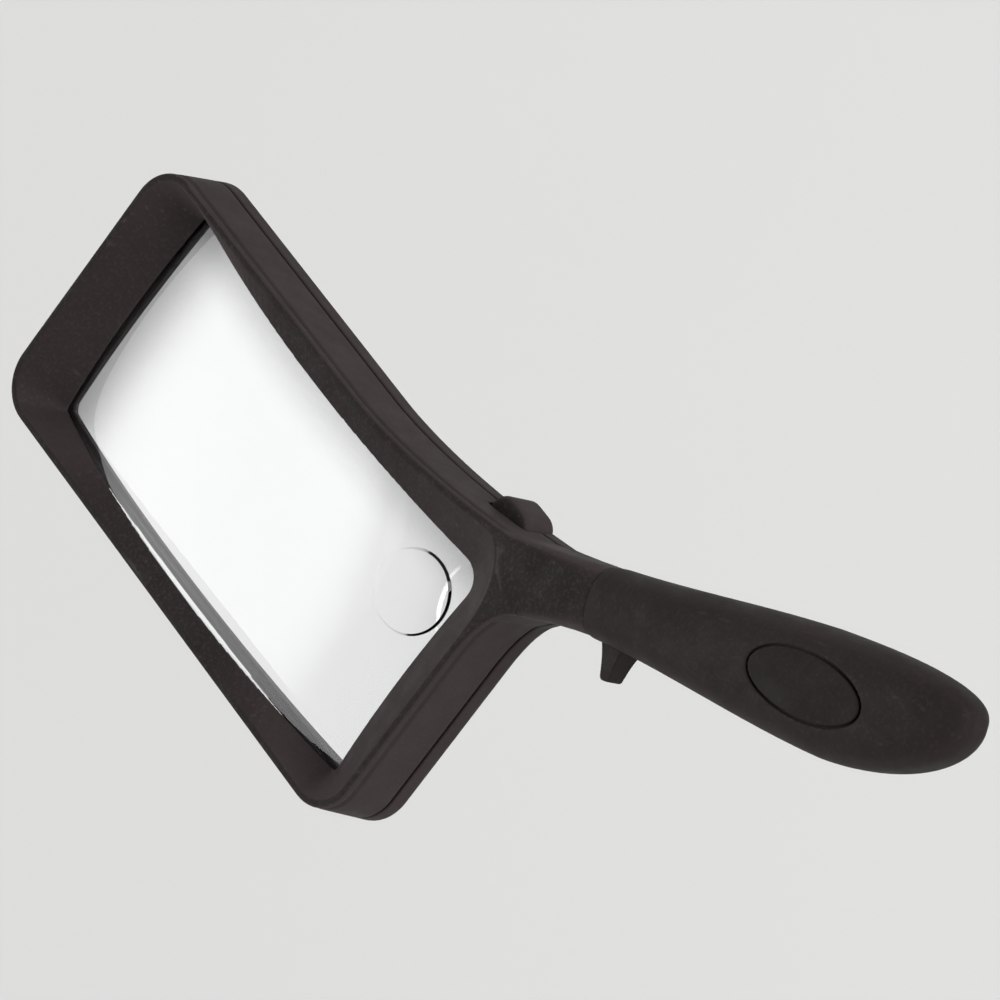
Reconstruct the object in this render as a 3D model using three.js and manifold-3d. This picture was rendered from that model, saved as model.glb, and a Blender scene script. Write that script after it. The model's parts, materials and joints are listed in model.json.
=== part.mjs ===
/*
 * A lighted reading magnifier: a rectangular lens in a two-part frame whose neck runs off one corner into a
 * hollow handle, with a lamp beside the neck, a trigger switch and two LR1 cells in line.
 *
 * Millimetres, +Z up, the front of the lens upwards. The frame, lens and lamp are drawn about the lens centre
 * with the long side along X. The handle is drawn along its own X axis in a group turned by HANDLE_ANGLE.
 * Z is 0 on the plane that the magnifier lies on. At the end the whole part is moved so that its origin is
 * the middle of its footprint on that plane.
 */
import * as THREE from 'three';
import { mergeVertices } from 'three/addons/utils/BufferGeometryUtils.js';
import Module from 'manifold-3d';

const wasm = await Module();
wasm.setup();

// ---------------------------------------------------------------- driving dimensions

const HANDLE_ANGLE = THREE.MathUtils.degToRad(26); // the handle runs off the frame's corner at this angle
const PARTING_Z = 4.2;                             // front mouldings above, rear mouldings below
const GAP = 0.3;                                   // between pieces that rest on each other
const HALF_GAP = GAP / 2;
const FAR = 400;                                   // longer than the whole part, for half-space cutters

const FRAME = { halfX: 60.6, halfY: 28.6, corner: 8.8, rimZ: 15.8, rimWidth: 1.3, wall: 1.8, draft: 0.85 };
const SIGHT = { halfX: 50, halfY: 23.5, corner: 0.8, neckCorner: 4.8, neckRimCorner: 11, lip: 0.3 };
const REAR_SIGHT = { halfX: 50, halfY: 22.9, corner: 2, flare: 0.9 }; // flare widens it to the rear
const LENS = {
  halfX: 51.6, halfY: 24.7, corner: 2.5, // outline
  frontZ: 16, frontRadius: 190,          // top of the front surface and its curve
  rearZ: 1.2, rearRadius: 560,           // lowest place of the rear surface and its curve
};
const SPOT = { x: 41.7, y: 11.9, radius: 7.9, curve: 62 }; // moulded on the lens's front surface

const JOINT_X = 86.2;      // where the handle mouldings take over from the neck, along the handle
const BUTT_X = 169.8;      // the far end of the handle
const HANDLE_Z = 8.8;      // mid-thickness of the handle
const PALM_X = 141;        // widest place of the palm side
const BACK_X = 135;        // widest place of the back side
const SHELL_WALL = 1.6;

const CELL = { radius: 6, length: 30.2, nubRadius: 2, nubLength: 1, y: 2.3, z: 8.4 }; // LR1, size N
const FIRST_CELL_X = 98.4;
const CELL_TUBE_RADIUS = 6.3;
const SWITCH_END_X = 97;   // the battery cover starts here

const TRIGGER = {
  pivotX: 89.6, pivotY: 0.2, pin: 0.9, boss: 2.2, // the pivot, its pin and the boss round it
  low: 5.3, high: 10.9, tipLow: 7.3,              // heights at the root, and of the thinner tip
  rootY: -4, tipY: -10.3,                         // where the stub leaves the handle, and its tip
};
const LAMP = { x: 46.5, y: 31.6, low: 0.3, high: 8.2 }; // low is the window's face, high the pod's top
const THUMB_OVAL = { x: 138, y: 1.7, length: 25.4, width: 10.8, tilt: -5, floor: 16.2 }; // tilt in degrees

const SCREW = { head: 2, headHeight: 1.5, shank: 1.1, length: 9.5 };
const FRAME_SCREWS = [[-56.2, -19], [-56.2, 19], [56.2, -19], [56.2, 14]];
const NECK_SCREW = { along: 75.5, across: 2.3 };
const HANDLE_SCREW = { x: 95.2, y: -0.3 };
const TONGUE_PEG = { x: 92, y: 5.85, radius: 0.6 };

// ---------------------------------------------------------------- materials

function paint(color, roughness, metalness = 0) {
  return new THREE.MeshStandardMaterial({ color, roughness, metalness });
}
const frameBlack = () => paint(0x2c2a2b, 0.55);
const handleBlack = () => paint(0x2f2d2e, 0.6);
const inlayBlack = () => paint(0x262425, 0.45);
const clearAcrylic = () => paint(0xf2f7fa, 0.05);
const brass = () => paint(0xc9a75a, 0.35, 1);
const steel = () => paint(0xb9bcc0, 0.35, 1);
const silvered = () => paint(0xe4e6e8, 0.15, 1);
const cellLabel = () => paint(0x50565c, 0.4, 0.3);
const leadJacket = (color) => paint(color, 0.6);

// ---------------------------------------------------------------- solid helpers

function toSolid(geometry) {
  const bare = geometry.clone();
  bare.deleteAttribute('normal');
  bare.deleteAttribute('uv');
  const merged = mergeVertices(bare, 1e-4);
  return new wasm.Manifold(new wasm.Mesh({
    numProp: 3,
    vertProperties: Float32Array.from(merged.attributes.position.array),
    triVerts: Uint32Array.from(merged.index.array),
  }));
}

function toGeometry(solid) {
  const { vertProperties, triVerts } = solid.getMesh();
  const geometry = new THREE.BufferGeometry();
  geometry.setAttribute('position', new THREE.BufferAttribute(vertProperties, 3));
  geometry.setIndex(new THREE.BufferAttribute(triVerts, 1));
  geometry.computeVertexNormals();
  return geometry;
}

const join = (...solids) => solids.reduce((all, next) => all.add(next));
const cut = (solid, ...tools) => tools.reduce((left, tool) => left.subtract(tool), solid);

/** A plan outline extruded from z = low to z = high. */
function slab(shape, low, high, curveSegments = 8) {
  const options = { depth: high - low, bevelEnabled: false, curveSegments };
  return toSolid(new THREE.ExtrudeGeometry(shape, options).translate(0, 0, low));
}

function box(minX, maxX, minY, maxY, minZ, maxZ) {
  const geometry = new THREE.BoxGeometry(maxX - minX, maxY - minY, maxZ - minZ);
  return toSolid(geometry.translate((minX + maxX) / 2, (minY + maxY) / 2, (minZ + maxZ) / 2));
}

/** An upright cylinder, or a cone when topRadius is given. */
function post(x, y, low, high, radius, topRadius = radius, sides = 20) {
  const geometry = new THREE.CylinderGeometry(topRadius, radius, high - low, sides).rotateX(Math.PI / 2);
  return toSolid(geometry.translate(x, y, (low + high) / 2));
}

/** A cylinder lying along X. */
function rod(minX, maxX, y, z, radius, sides = 24) {
  const geometry = new THREE.CylinderGeometry(radius, radius, maxX - minX, sides).rotateZ(Math.PI / 2);
  return toSolid(geometry.translate((minX + maxX) / 2, y, z));
}

/** A solid skinned over closed rings of equal length, each counter-clockwise about the way they go. */
function loft(rings) {
  const size = rings[0].length;
  const points = rings.flat();
  const faces = [];
  for (let ring = 0; ring + 1 < rings.length; ring++) {
    for (let i = 0; i < size; i++) {
      const a = ring * size + i;
      const b = ring * size + ((i + 1) % size);
      faces.push(a, b, b + size, a, b + size, a + size);
    }
  }
  const middle = (ring) => ring.reduce((sum, p) => sum.add(p), new THREE.Vector3()).divideScalar(size);
  const first = points.push(middle(rings[0])) - 1;
  const last = points.push(middle(rings.at(-1))) - 1;
  const lastRing = (rings.length - 1) * size;
  for (let i = 0; i < size; i++) {
    const next = (i + 1) % size;
    faces.push(first, next, i, last, lastRing + i, lastRing + next);
  }
  const geometry = new THREE.BufferGeometry().setFromPoints(points);
  geometry.setIndex(faces);
  return toSolid(geometry);
}

/** A round wire through hand-placed points. */
function wire(points, radius, steps, sides = 6) {
  const section = new THREE.Shape().absarc(0, 0, radius, 0, 2 * Math.PI);
  const extrudePath = new THREE.CatmullRomCurve3(points.map((p) => new THREE.Vector3(...p)));
  const options = { extrudePath, steps, curveSegments: sides / 2, bevelEnabled: false };
  return toSolid(new THREE.ExtrudeGeometry(section, options));
}

function roundedRectangle(halfX, halfY, corner) {
  const shape = new THREE.Shape();
  shape.absarc(halfX - corner, halfY - corner, corner, 0, Math.PI / 2);
  shape.absarc(corner - halfX, halfY - corner, corner, Math.PI / 2, Math.PI);
  shape.absarc(corner - halfX, corner - halfY, corner, Math.PI, 1.5 * Math.PI);
  shape.absarc(halfX - corner, corner - halfY, corner, 1.5 * Math.PI, 2 * Math.PI);
  return shape;
}

const above = (z) => box(-FAR, FAR, -FAR, FAR, z, FAR);

/** A point given along and across the handle, in the frame's own X and Y. */
function alongHandle(along, across) {
  return new THREE.Vector2(along, across).rotateAround(new THREE.Vector2(), HANDLE_ANGLE);
}

const neckScrewAt = alongHandle(NECK_SCREW.along, NECK_SCREW.across);
const REAR_SCREWS = [...FRAME_SCREWS, [neckScrewAt.x, neckScrewAt.y]];

/** A solid drawn in the handle's axes, turned into the frame's. */
const turned = (solid) => solid.rotate([0, 0, THREE.MathUtils.radToDeg(HANDLE_ANGLE)]);

// ---------------------------------------------------------------- handle and neck form

/** The handle's two edges, measured across it: the palm side swells, the back is nearly straight. */
const TIP_Y = 4.8; // the butt's tip lies nearer the back edge
function palmEdge(x) {
  if (x < PALM_X) return THREE.MathUtils.lerp(-4.1, -9.5, smooth((x - JOINT_X) / (PALM_X - JOINT_X)));
  return TIP_Y - (9.5 + TIP_Y) * Math.sqrt(Math.max(0, 1 - ((x - PALM_X) / (BUTT_X - PALM_X)) ** 2));
}
function backEdge(x) {
  if (x < BACK_X) return THREE.MathUtils.lerp(9, 12, smooth((x - JOINT_X) / (BACK_X - JOINT_X)));
  return TIP_Y + (12 - TIP_Y) * buttRounding(x);
}
function halfThickness(x) {
  if (x < BACK_X) return THREE.MathUtils.lerp(7.4, HANDLE_Z, Math.min(1, (x - JOINT_X) / 24));
  return HANDLE_Z * buttRounding(x);
}
function smooth(t) {
  const held = THREE.MathUtils.clamp(t, 0, 1);
  return 0.45 * held + 0.55 * held * held * (3 - 2 * held);
}
function buttRounding(x) {
  const reach = (x - BACK_X) / (BUTT_X - BACK_X);
  return Math.max(0, 1 - reach ** 2.6) ** (1 / 2.6);
}

/** One cross-section of the handle or neck: a superellipse across the handle's X axis. */
function section(x, lowY, highY, middleZ, halfZ, squareness = 2.6, points = 24) {
  const halfY = (highY - lowY) / 2;
  const bend = (value) => Math.sign(value) * Math.abs(value) ** (2 / squareness);
  return Array.from({ length: points }, (_, i) => {
    const angle = (2 * Math.PI * i) / points;
    const y = (lowY + highY) / 2 + halfY * bend(Math.cos(angle));
    return new THREE.Vector3(x, y, middleZ + halfZ * bend(Math.sin(angle)));
  });
}

/** The handle's outer form, or its hollow when inset is more than nothing. */
function handleForm(inset, startX = JOINT_X) {
  const endX = BUTT_X - 0.25 - inset;
  const stations = [startX];
  for (let x = 96; x < PALM_X; x += 9) stations.push(x);
  const rounds = 7;
  for (let i = 0; i <= rounds; i++) {
    stations.push(PALM_X + (endX - PALM_X) * Math.sin((Math.PI / 2) * (i / rounds)));
  }
  return loft(stations.map((x) => section(
    x, palmEdge(x) + inset, backEdge(x) - inset, HANDLE_Z, halfThickness(x) - inset)));
}

/** The neck's sections go from square at the frame's corner to nearly round at the handle. */
function neckForm(inset, overrun = 0) {
  const top = FRAME.rimZ;
  const stations = [
    { x: 56, low: -10, high: 9, bottom: 0, square: 12 },
    { x: 66, low: -7, high: 8.5, bottom: 0, square: 12 },
    { x: 71, low: -4.6, high: 8.4, bottom: 0, square: 8 },
    { x: 77, low: -4, high: 8.5, bottom: 0.6, square: 5 },
    { x: 82, low: -3.8, high: 8.7, bottom: 1.3, square: 3.4 },
    { x: JOINT_X - GAP + overrun, low: -3.8, high: 8.8, bottom: 1.8, square: 2.8 },
  ];
  return loft(stations.map(({ x, low, high, bottom, square }) => section(
    x, low + inset, high - inset, (top + bottom) / 2, (top - bottom) / 2 - inset, square)));
}

/** How far the back long side stands out past FRAME.halfY as it flares towards the neck. */
const FLARE = { startX: 8, rise: 0.0123, power: 1.66, endX: 60, palmStartY: 12 };
const flareRise = (x) => FLARE.rise * Math.max(0, x - FLARE.startX) ** FLARE.power;

/** The plan of frame and neck root, grown by the draft: a rounded rectangle with a flare at one corner. */
function framePlan(grow) {
  const halfX = FRAME.halfX + grow;
  const halfY = FRAME.halfY + grow;
  const corner = FRAME.corner + grow;
  const palm = alongHandle(72, -4.5);
  const palmLead = alongHandle(67, -4.9);
  const shape = new THREE.Shape();
  shape.absarc(corner - halfX, halfY - corner, corner, Math.PI / 2, Math.PI);
  shape.absarc(corner - halfX, corner - halfY, corner, Math.PI, 1.5 * Math.PI);
  shape.absarc(halfX - corner, corner - halfY, corner, 1.5 * Math.PI, 2 * Math.PI);
  shape.lineTo(halfX, FLARE.palmStartY);
  shape.bezierCurveTo(halfX, 19, palmLead.x, palmLead.y, palm.x, palm.y);
  const steps = 8;
  for (let i = 0; i <= steps; i++) {
    const x = THREE.MathUtils.lerp(FLARE.endX, FLARE.startX, i / steps);
    shape.lineTo(x, halfY + flareRise(x));
  }
  return shape.getPoints(10);
}

/** The frame's body between two levels; its outer walls lean out towards the rear. */
function frameBody(low, high) {
  const ring = (z) => {
    const grow = FRAME.draft * (1 - z / FRAME.rimZ);
    return framePlan(grow).map((point) => new THREE.Vector3(point.x, point.y, z));
  };
  return loft([ring(low), ring(high)]);
}

// ---------------------------------------------------------------- lens

/** A biconvex lens blank turned about Z; grow thickens it all round to make its seat. */
function lensBlank(grow) {
  const edge = 58;
  const rings = 6;
  const radii = Array.from({ length: rings + 1 }, (_, i) => (edge * i) / rings);
  const rear = radii.map((r) => new THREE.Vector2(r, rearSurface(r) - grow));
  const front = radii.map((r) => new THREE.Vector2(r, frontSurface(r) + grow)).reverse();
  return toSolid(new THREE.LatheGeometry([...rear, ...front], 40).rotateX(Math.PI / 2));
}
function frontSurface(r) {
  return LENS.frontZ - LENS.frontRadius + Math.sqrt(LENS.frontRadius ** 2 - r * r);
}
function rearSurface(r) {
  return LENS.rearZ + LENS.rearRadius - Math.sqrt(LENS.rearRadius ** 2 - r * r);
}

function mainLens() {
  const outline = slab(roundedRectangle(LENS.halfX, LENS.halfY, LENS.corner), -1, 20, 3);
  return join(lensBlank(0).intersect(outline), spotLens());
}

/** The stronger spot stands on the lens as a shallow cap, tilted to the surface under it. */
function spotLens() {
  const sag = (r) => SPOT.curve - Math.sqrt(SPOT.curve ** 2 - r * r);
  const edgeStep = 0.35;
  const root = -2;
  const rings = 4;
  const profile = [new THREE.Vector2(0, root), new THREE.Vector2(SPOT.radius, root)];
  for (let i = rings; i >= 0; i--) {
    const r = (SPOT.radius * i) / rings;
    profile.push(new THREE.Vector2(r, edgeStep + sag(SPOT.radius) - sag(r)));
  }
  const cap = new THREE.LatheGeometry(profile, 32).rotateX(Math.PI / 2);
  const distance = Math.hypot(SPOT.x, SPOT.y);
  const height = Math.sqrt(LENS.frontRadius ** 2 - distance ** 2);
  const normal = new THREE.Vector3(SPOT.x, SPOT.y, height).normalize();
  cap.applyQuaternion(new THREE.Quaternion().setFromUnitVectors(new THREE.Vector3(0, 0, 1), normal));
  return toSolid(cap.translate(SPOT.x, SPOT.y, frontSurface(distance)));
}

// ---------------------------------------------------------------- frame

/** Points round the clear view, one corner rounder than the rest, for a ring at one level. */
function sightRing(halfX, halfY, corner, neckCorner, zAt) {
  const perCorner = 4;
  const perSide = 8;
  const turns = [[1, 1, neckCorner], [-1, 1, corner], [-1, -1, corner], [1, -1, corner]];
  const ring = [];
  const onCorner = ([sideX, sideY, radius], angle) => new THREE.Vector3(
    sideX * (halfX - radius) + radius * Math.cos(angle),
    sideY * (halfY - radius) + radius * Math.sin(angle), 0);
  turns.forEach((turn, index) => {
    for (let i = 0; i <= perCorner; i++) {
      ring.push(onCorner(turn, (Math.PI / 2) * (index + i / perCorner)));
    }
    const start = ring.at(-1).clone();
    const end = onCorner(turns[(index + 1) % turns.length], (Math.PI / 2) * (index + 1));
    for (let i = 1; i < perSide; i++) ring.push(start.clone().lerp(end, i / perSide));
  });
  ring.forEach((point) => { point.z = zAt(point); });
  return ring;
}

/** An upright lip round the lens border, then ruled faces up to the rim: each ring has the same points. */
function frontFunnel() {
  const border = (zAt) => sightRing(SIGHT.halfX, SIGHT.halfY, SIGHT.corner, SIGHT.neckCorner, zAt);
  const overLens = (point) => frontSurface(Math.hypot(point.x, point.y)) + SIGHT.lip;
  const rimX = FRAME.halfX - FRAME.rimWidth;
  const rimY = FRAME.halfY - FRAME.rimWidth;
  const rim = sightRing(rimX, rimY, FRAME.corner - FRAME.rimWidth, SIGHT.neckRimCorner, () => FRAME.rimZ);
  rim.forEach((point) => { point.y += point.y > 0 ? flareRise(point.x) * (point.y / rimY) ** 2 : 0; });
  const open = rim.map((point) => point.clone().setZ(FRAME.rimZ + 5));
  return loft([border(() => 0), border(overLens), rim, open]);
}

/** The lens's outline as an upright prism, grown all round for a seat. */
function lensPrism(grow) {
  return slab(roundedRectangle(LENS.halfX + grow, LENS.halfY + grow, LENS.corner), -1, 20, 3);
}

/** The seat for the lens, open to the rear so that the lens drops in before the rear frame closes it. */
function lensSeat() {
  return join(lensBlank(0.1), post(0, 0, -1, 7.5, 58.5, 58.5, 40)).intersect(lensPrism(HALF_GAP));
}

/** Cored pockets lighten the short sides between the screw bosses. */
function sidePockets(low, high) {
  const minX = LENS.halfX + FRAME.wall;
  const maxX = FRAME.halfX - FRAME.wall;
  return join(box(-maxX, -minX, -15, 15, low, high), box(minX, maxX, -15, 10, low, high));
}

/** The neck's hollow, round the boss of the neck screw. */
function neckHollow() {
  const inside = neckForm(FRAME.wall, 1).intersect(box(64, FAR, -20, 20, -5, 20));
  return turned(cut(inside, post(NECK_SCREW.along, NECK_SCREW.across, -5, 20, 2.5)));
}

/** A tunnel carries the leads from the neck's hollow to the room over the lamp. */
function leadTunnel() {
  const tunnel = box(53.4, 70, 5.4, 8, PARTING_Z - 1, 12);
  const overLamp = box(53.4, 58.2, 5.4, 9.2, PARTING_Z - 1, 12);
  return turned(join(tunnel, overLamp));
}

const lampSeat = () => slab(lampPlan(GAP), -1, LAMP.high + GAP, 4);

function frontFrame() {
  const low = PARTING_Z + HALF_GAP;
  const outer = join(frameBody(low, FRAME.rimZ), turned(neckForm(0)).intersect(above(low)));
  const screwHoles = REAR_SCREWS.map(([x, y]) => screwBore(x, y, 11.2));
  const lensRooms = [frontFunnel(), lensSeat(), sidePockets(PARTING_Z - 1, 8.6)];
  const lampRooms = [neckHollow(), leadTunnel(), lampSeat()];
  return join(cut(outer, ...lensRooms, ...lampRooms, ...screwHoles), turned(neckTongue()));
}

/** A tongue on the neck's back side reaches into the handle, where a peg holds it. */
function neckTongue() {
  const eye = TONGUE_PEG.radius + 0.25;
  return cut(box(82.2, 95.2, 4.7, 6.8, 5.9, 11.7), post(TONGUE_PEG.x, TONGUE_PEG.y, 0, 20, eye, eye, 12));
}

function rearFrame() {
  const high = PARTING_Z - HALF_GAP;
  const neck = turned(neckForm(0)).intersect(box(-FAR, FAR, -FAR, FAR, 0, high));
  const tray = join(frameBody(0, high), neck);
  const { halfX, halfY, corner, flare } = REAR_SIGHT;
  const rearView = loft([
    sightRing(halfX + flare, halfY + flare, corner, corner, () => -1),
    sightRing(halfX, halfY, SIGHT.corner, corner, () => 8)]);
  const lensRoom = join(lensBlank(HALF_GAP), post(0, 0, 7, 20, 59, 59, 40)).intersect(lensPrism(HALF_GAP));
  const screwRooms = REAR_SCREWS.map(([x, y]) => screwRoom(x, y, 2));
  const rooms = [rearView, lensRoom, sidePockets(FRAME.wall, 8), neckHollow(), lampSeat()];
  return cut(tray, ...rooms, ...screwRooms);
}

// ---------------------------------------------------------------- screws, all driven upwards from the rear

/** A screw with its pan head below and its shank above. */
function screw(x, y, headZ) {
  const { head, headHeight, shank, length } = SCREW;
  const pan = post(x, y, headZ, headZ + headHeight, head, head, 16);
  const thread = post(x, y, headZ + headHeight - 0.1, headZ + length, shank, shank * 0.8, 10);
  const slot = box(x - 1.4, x + 1.4, y - 0.25, y + 0.25, headZ - 1, headZ + 0.6);
  return cut(join(pan, thread), slot);
}

/** The blind bore in a front moulding that the screw bites in. */
const screwBore = (x, y, top) => post(x, y, 0, top, SCREW.shank + 0.1, SCREW.shank + 0.1, 12);

/** The counterbore and through hole in a rear moulding. */
function screwRoom(x, y, shoulderZ) {
  const counterbore = post(x, y, -1, shoulderZ, SCREW.head + 0.2, SCREW.head + 0.2, 16);
  return join(counterbore, post(x, y, -1, 9, SCREW.shank + 0.15, SCREW.shank + 0.15, 12));
}

// ---------------------------------------------------------------- lamp

/** The pod's plan: a rounded rectangle that stands out past the flare beside the neck root. */
function lampPlan(grow) {
  const [minX, maxX, minY, maxY, corner] = [41.4, 51.6, 27.3, 37, 3.6];
  const centre = new THREE.Vector2((minX + maxX) / 2, (minY + maxY) / 2);
  const outline = roundedRectangle((maxX - minX) / 2 + grow, (maxY - minY) / 2 + grow, corner).getPoints(4);
  return new THREE.Shape(outline.slice(0, -1).map((point) => point.add(centre)));
}

function lampHousing() {
  const body = slab(lampPlan(0), 0, LAMP.high, 4);
  return cut(body, post(LAMP.x, LAMP.y, -1, 6.6, 4.1), post(LAMP.x, LAMP.y, 6, 9, 1.9));
}

/** A profile of radius and height turned about the lamp's upright axis. */
function turnedAtLamp(profile, segments) {
  const outline = profile.map(([radius, z]) => new THREE.Vector2(radius, z));
  const upright = new THREE.LatheGeometry(outline, segments).rotateX(Math.PI / 2);
  return toSolid(upright.translate(LAMP.x, LAMP.y, 0));
}

function lampReflector() {
  return turnedAtLamp([[3.75, 1.6], [3.75, 2], [2.5, 6.3], [1.85, 6.3], [3.3, 1.6], [3.75, 1.6]], 24);
}

function lampBulb() {
  const dome = turnedAtLamp([[0, 2.6], [0.8, 2.8], [1.35, 3.5], [1.5, 4.3], [1.5, 7.4], [0, 7.4]], 16);
  const legs = [-0.7, 0.7].map((offset) => post(LAMP.x + offset, LAMP.y, 7.2, 9.6, 0.25, 0.25, 8));
  return join(dome, ...legs);
}

// ---------------------------------------------------------------- handle mouldings

const cellTube = (startX, endX) => rod(startX, endX, CELL.y, CELL.z, CELL_TUBE_RADIUS, 28);
const NEGATIVE_PLATE_X = 164;

function handleHollow() {
  const endX = NEGATIVE_PLATE_X + 0.9;
  const room = handleForm(SHELL_WALL, JOINT_X - 1).intersect(box(0, endX, -30, 30, -5, 30));
  const stripSlot = box(94, endX, 1.8, 5, CELL.z, 15.2).intersect(handleForm(0.7));
  return join(room, cellTube(FIRST_CELL_X - 1.4, NEGATIVE_PLATE_X - 3), stripSlot);
}

function thumbOval(grow, low) {
  const { x, y, length, width, tilt } = THUMB_OVAL;
  const shape = new THREE.Shape().absellipse(0, 0, length / 2 + grow, width / 2 + grow, 0, 2 * Math.PI);
  return slab(shape, low, 25, 20).rotate([0, 0, tilt]).translate([x, y, 0]);
}

const thumbInlay = () => handleForm(0).intersect(thumbOval(0, THUMB_OVAL.floor + GAP));

function handleFrontShell() {
  const { pivotX, pivotY, pin, high } = TRIGGER;
  const shell = handleForm(0).intersect(above(PARTING_Z + HALF_GAP));
  const triggerSlot = box(86.8, 94.6, -12, -1, 0, high + 0.4);
  const pivotBoss = post(pivotX, pivotY, high + 0.4, 15.5, 2);
  const screwBoss = post(HANDLE_SCREW.x, HANDLE_SCREW.y, PARTING_Z + HALF_GAP, 15.5, 2.1);
  const peg = post(TONGUE_PEG.x, TONGUE_PEG.y, 4.9, 15.5, TONGUE_PEG.radius, TONGUE_PEG.radius, 12);
  const bosses = join(pivotBoss, screwBoss, peg, plateRib()).intersect(handleForm(0.5));
  return cut(
    join(cut(shell, handleHollow(), triggerSlot), bosses),
    post(pivotX, pivotY, 0, 14.2, pin + 0.1, pin + 0.1, 14),
    screwBore(HANDLE_SCREW.x, HANDLE_SCREW.y, 12),
    thumbOval(GAP, THUMB_OVAL.floor));
}

/** Two ribs inside the butt keep the negative plate from tipping forwards. */
function plateRib() {
  const web = box(NEGATIVE_PLATE_X - 1.6, NEGATIVE_PLATE_X - 0.4, -3, 10, 9, 15);
  return cut(web, box(NEGATIVE_PLATE_X - 3, NEGATIVE_PLATE_X, -1.6, 8.4, 5, 15.3));
}

function handleRearShell() {
  const { pivotX, pivotY, pin } = TRIGGER;
  const high = PARTING_Z - HALF_GAP;
  const shell = handleForm(0).intersect(box(0, SWITCH_END_X, -30, 30, -5, high));
  const hollow = handleForm(SHELL_WALL, JOINT_X - 1).intersect(box(0, SWITCH_END_X + 1, -30, 30, -5, 10));
  const screwBoss = post(HANDLE_SCREW.x, HANDLE_SCREW.y, 1, high, 2.6);
  const inside = handleForm(0.2).intersect(box(0, SWITCH_END_X, -30, 30, -5, 10));
  const bosses = join(post(pivotX, pivotY, 1.2, high, 2), screwBoss).intersect(inside);
  return cut(
    join(cut(shell, hollow), bosses),
    post(pivotX, pivotY, 2.2, 9, pin + 0.1, pin + 0.1, 14),
    screwRoom(HANDLE_SCREW.x, HANDLE_SCREW.y, 2.3),
    latchRoom());
}

/** The cover's thin latch tongue lies inside the rear shell's wall and follows its curve. */
const LATCH = { startX: 93.6, minY: 2.9, maxY: 6.4, outerInset: 0.85, innerInset: 1.35 };
function latchRoom() {
  const { startX, minY, maxY, outerInset } = LATCH;
  const room = box(startX - GAP, SWITCH_END_X + 1, minY - GAP, maxY + GAP, -5, 9);
  return room.intersect(handleForm(outerInset - HALF_GAP));
}
function latch() {
  const { startX, minY, maxY, outerInset, innerInset } = LATCH;
  const tongue = box(startX, SWITCH_END_X + 2.2, minY, maxY, -5, PARTING_Z - 1);
  return cut(tongue.intersect(handleForm(outerInset)), handleForm(innerInset));
}

function batteryCover() {
  const shell = handleForm(0).intersect(box(SWITCH_END_X + GAP, FAR, -30, 30, -5, PARTING_Z - HALF_GAP));
  const hollow = handleForm(SHELL_WALL, JOINT_X - 1).intersect(box(0, NEGATIVE_PLATE_X + 1, -30, 30, -5, 30));
  const cellRoom = cellTube(0, NEGATIVE_PLATE_X - 3);
  return cut(join(cut(shell, hollow), latch()), cellRoom, ...gripGrooves());
}

function gripGrooves() {
  return Array.from({ length: 5 }, (_, i) => {
    const x = 104 + 3 * i;
    return box(x, x + 1.2, -3, 8, -5, HANDLE_Z - halfThickness(x) + 0.5);
  });
}

// ---------------------------------------------------------------- electrical pieces

function cell(startX) {
  const can = rod(startX + CELL.nubLength, startX + CELL.length, CELL.y, CELL.z, CELL.radius, 24);
  return join(can, rod(startX, startX + CELL.nubLength + 0.1, CELL.y, CELL.z, CELL.nubRadius, 16));
}

/** The positive plate in front of the cells; its springy arm lies along the trigger's nose. */
const ARM = { low: 3.25, thickness: 0.3, bottom: 6.8, top: 10.2 };
function contactArm() {
  const plateX = FIRST_CELL_X - 0.8;
  const plate = box(plateX, plateX + 0.4, 0.8, 6.8, 5.2, 12);
  const arm = box(88, plateX + 0.2, ARM.low, ARM.low + ARM.thickness, ARM.bottom, ARM.top);
  return join(plate, arm);
}

function switchContact() {
  const blade = box(87.4, 90.6, 4, 4.35, ARM.bottom, ARM.top);
  return join(blade, box(87.4, 87.8, 2.6, 4.2, 10, 12.6));
}

/** The brass strip lies over the cells and bends down at the butt into the plate that holds the spring. */
const STRIP = { startX: 94.6, bendX: 159.6, low: 14.6, thickness: 0.3, minY: 2.1, maxY: 4.7 };
function negativeStrip() {
  const plateX = NEGATIVE_PLATE_X;
  const { startX, bendX, low, thickness, minY, maxY } = STRIP;
  const side = new THREE.Shape();
  side.moveTo(startX, low + thickness);
  side.lineTo(bendX, low + thickness);
  side.lineTo(plateX + 0.4, 11.4);
  side.lineTo(plateX + 0.4, 6);
  side.lineTo(plateX, 6);
  side.lineTo(plateX, 11.2);
  side.lineTo(bendX - 0.1, low);
  side.lineTo(startX, low);
  const strip = new THREE.ExtrudeGeometry(side, { depth: maxY - minY, bevelEnabled: false });
  const plate = box(plateX, plateX + 0.4, 0.2, 5.9, 5.8, 11.2);
  return join(toSolid(strip.rotateX(Math.PI / 2).translate(0, maxY, 0)), plate);
}

function negativeSpring() {
  const turns = 2.5;
  const start = NEGATIVE_PLATE_X - 0.45;
  const end = FIRST_CELL_X + 2 * CELL.length + 2 * GAP + 0.35;
  const steps = 30;
  const points = Array.from({ length: steps + 1 }, (_, i) => {
    const t = i / steps;
    const angle = 2 * Math.PI * turns * t;
    const radius = THREE.MathUtils.lerp(2.5, 1.8, t);
    const x = THREE.MathUtils.lerp(start, end, t);
    return [x, CELL.y + radius * Math.cos(angle), CELL.z + radius * Math.sin(angle)];
  });
  return wire(points, 0.3, 36, 6);
}

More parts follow.
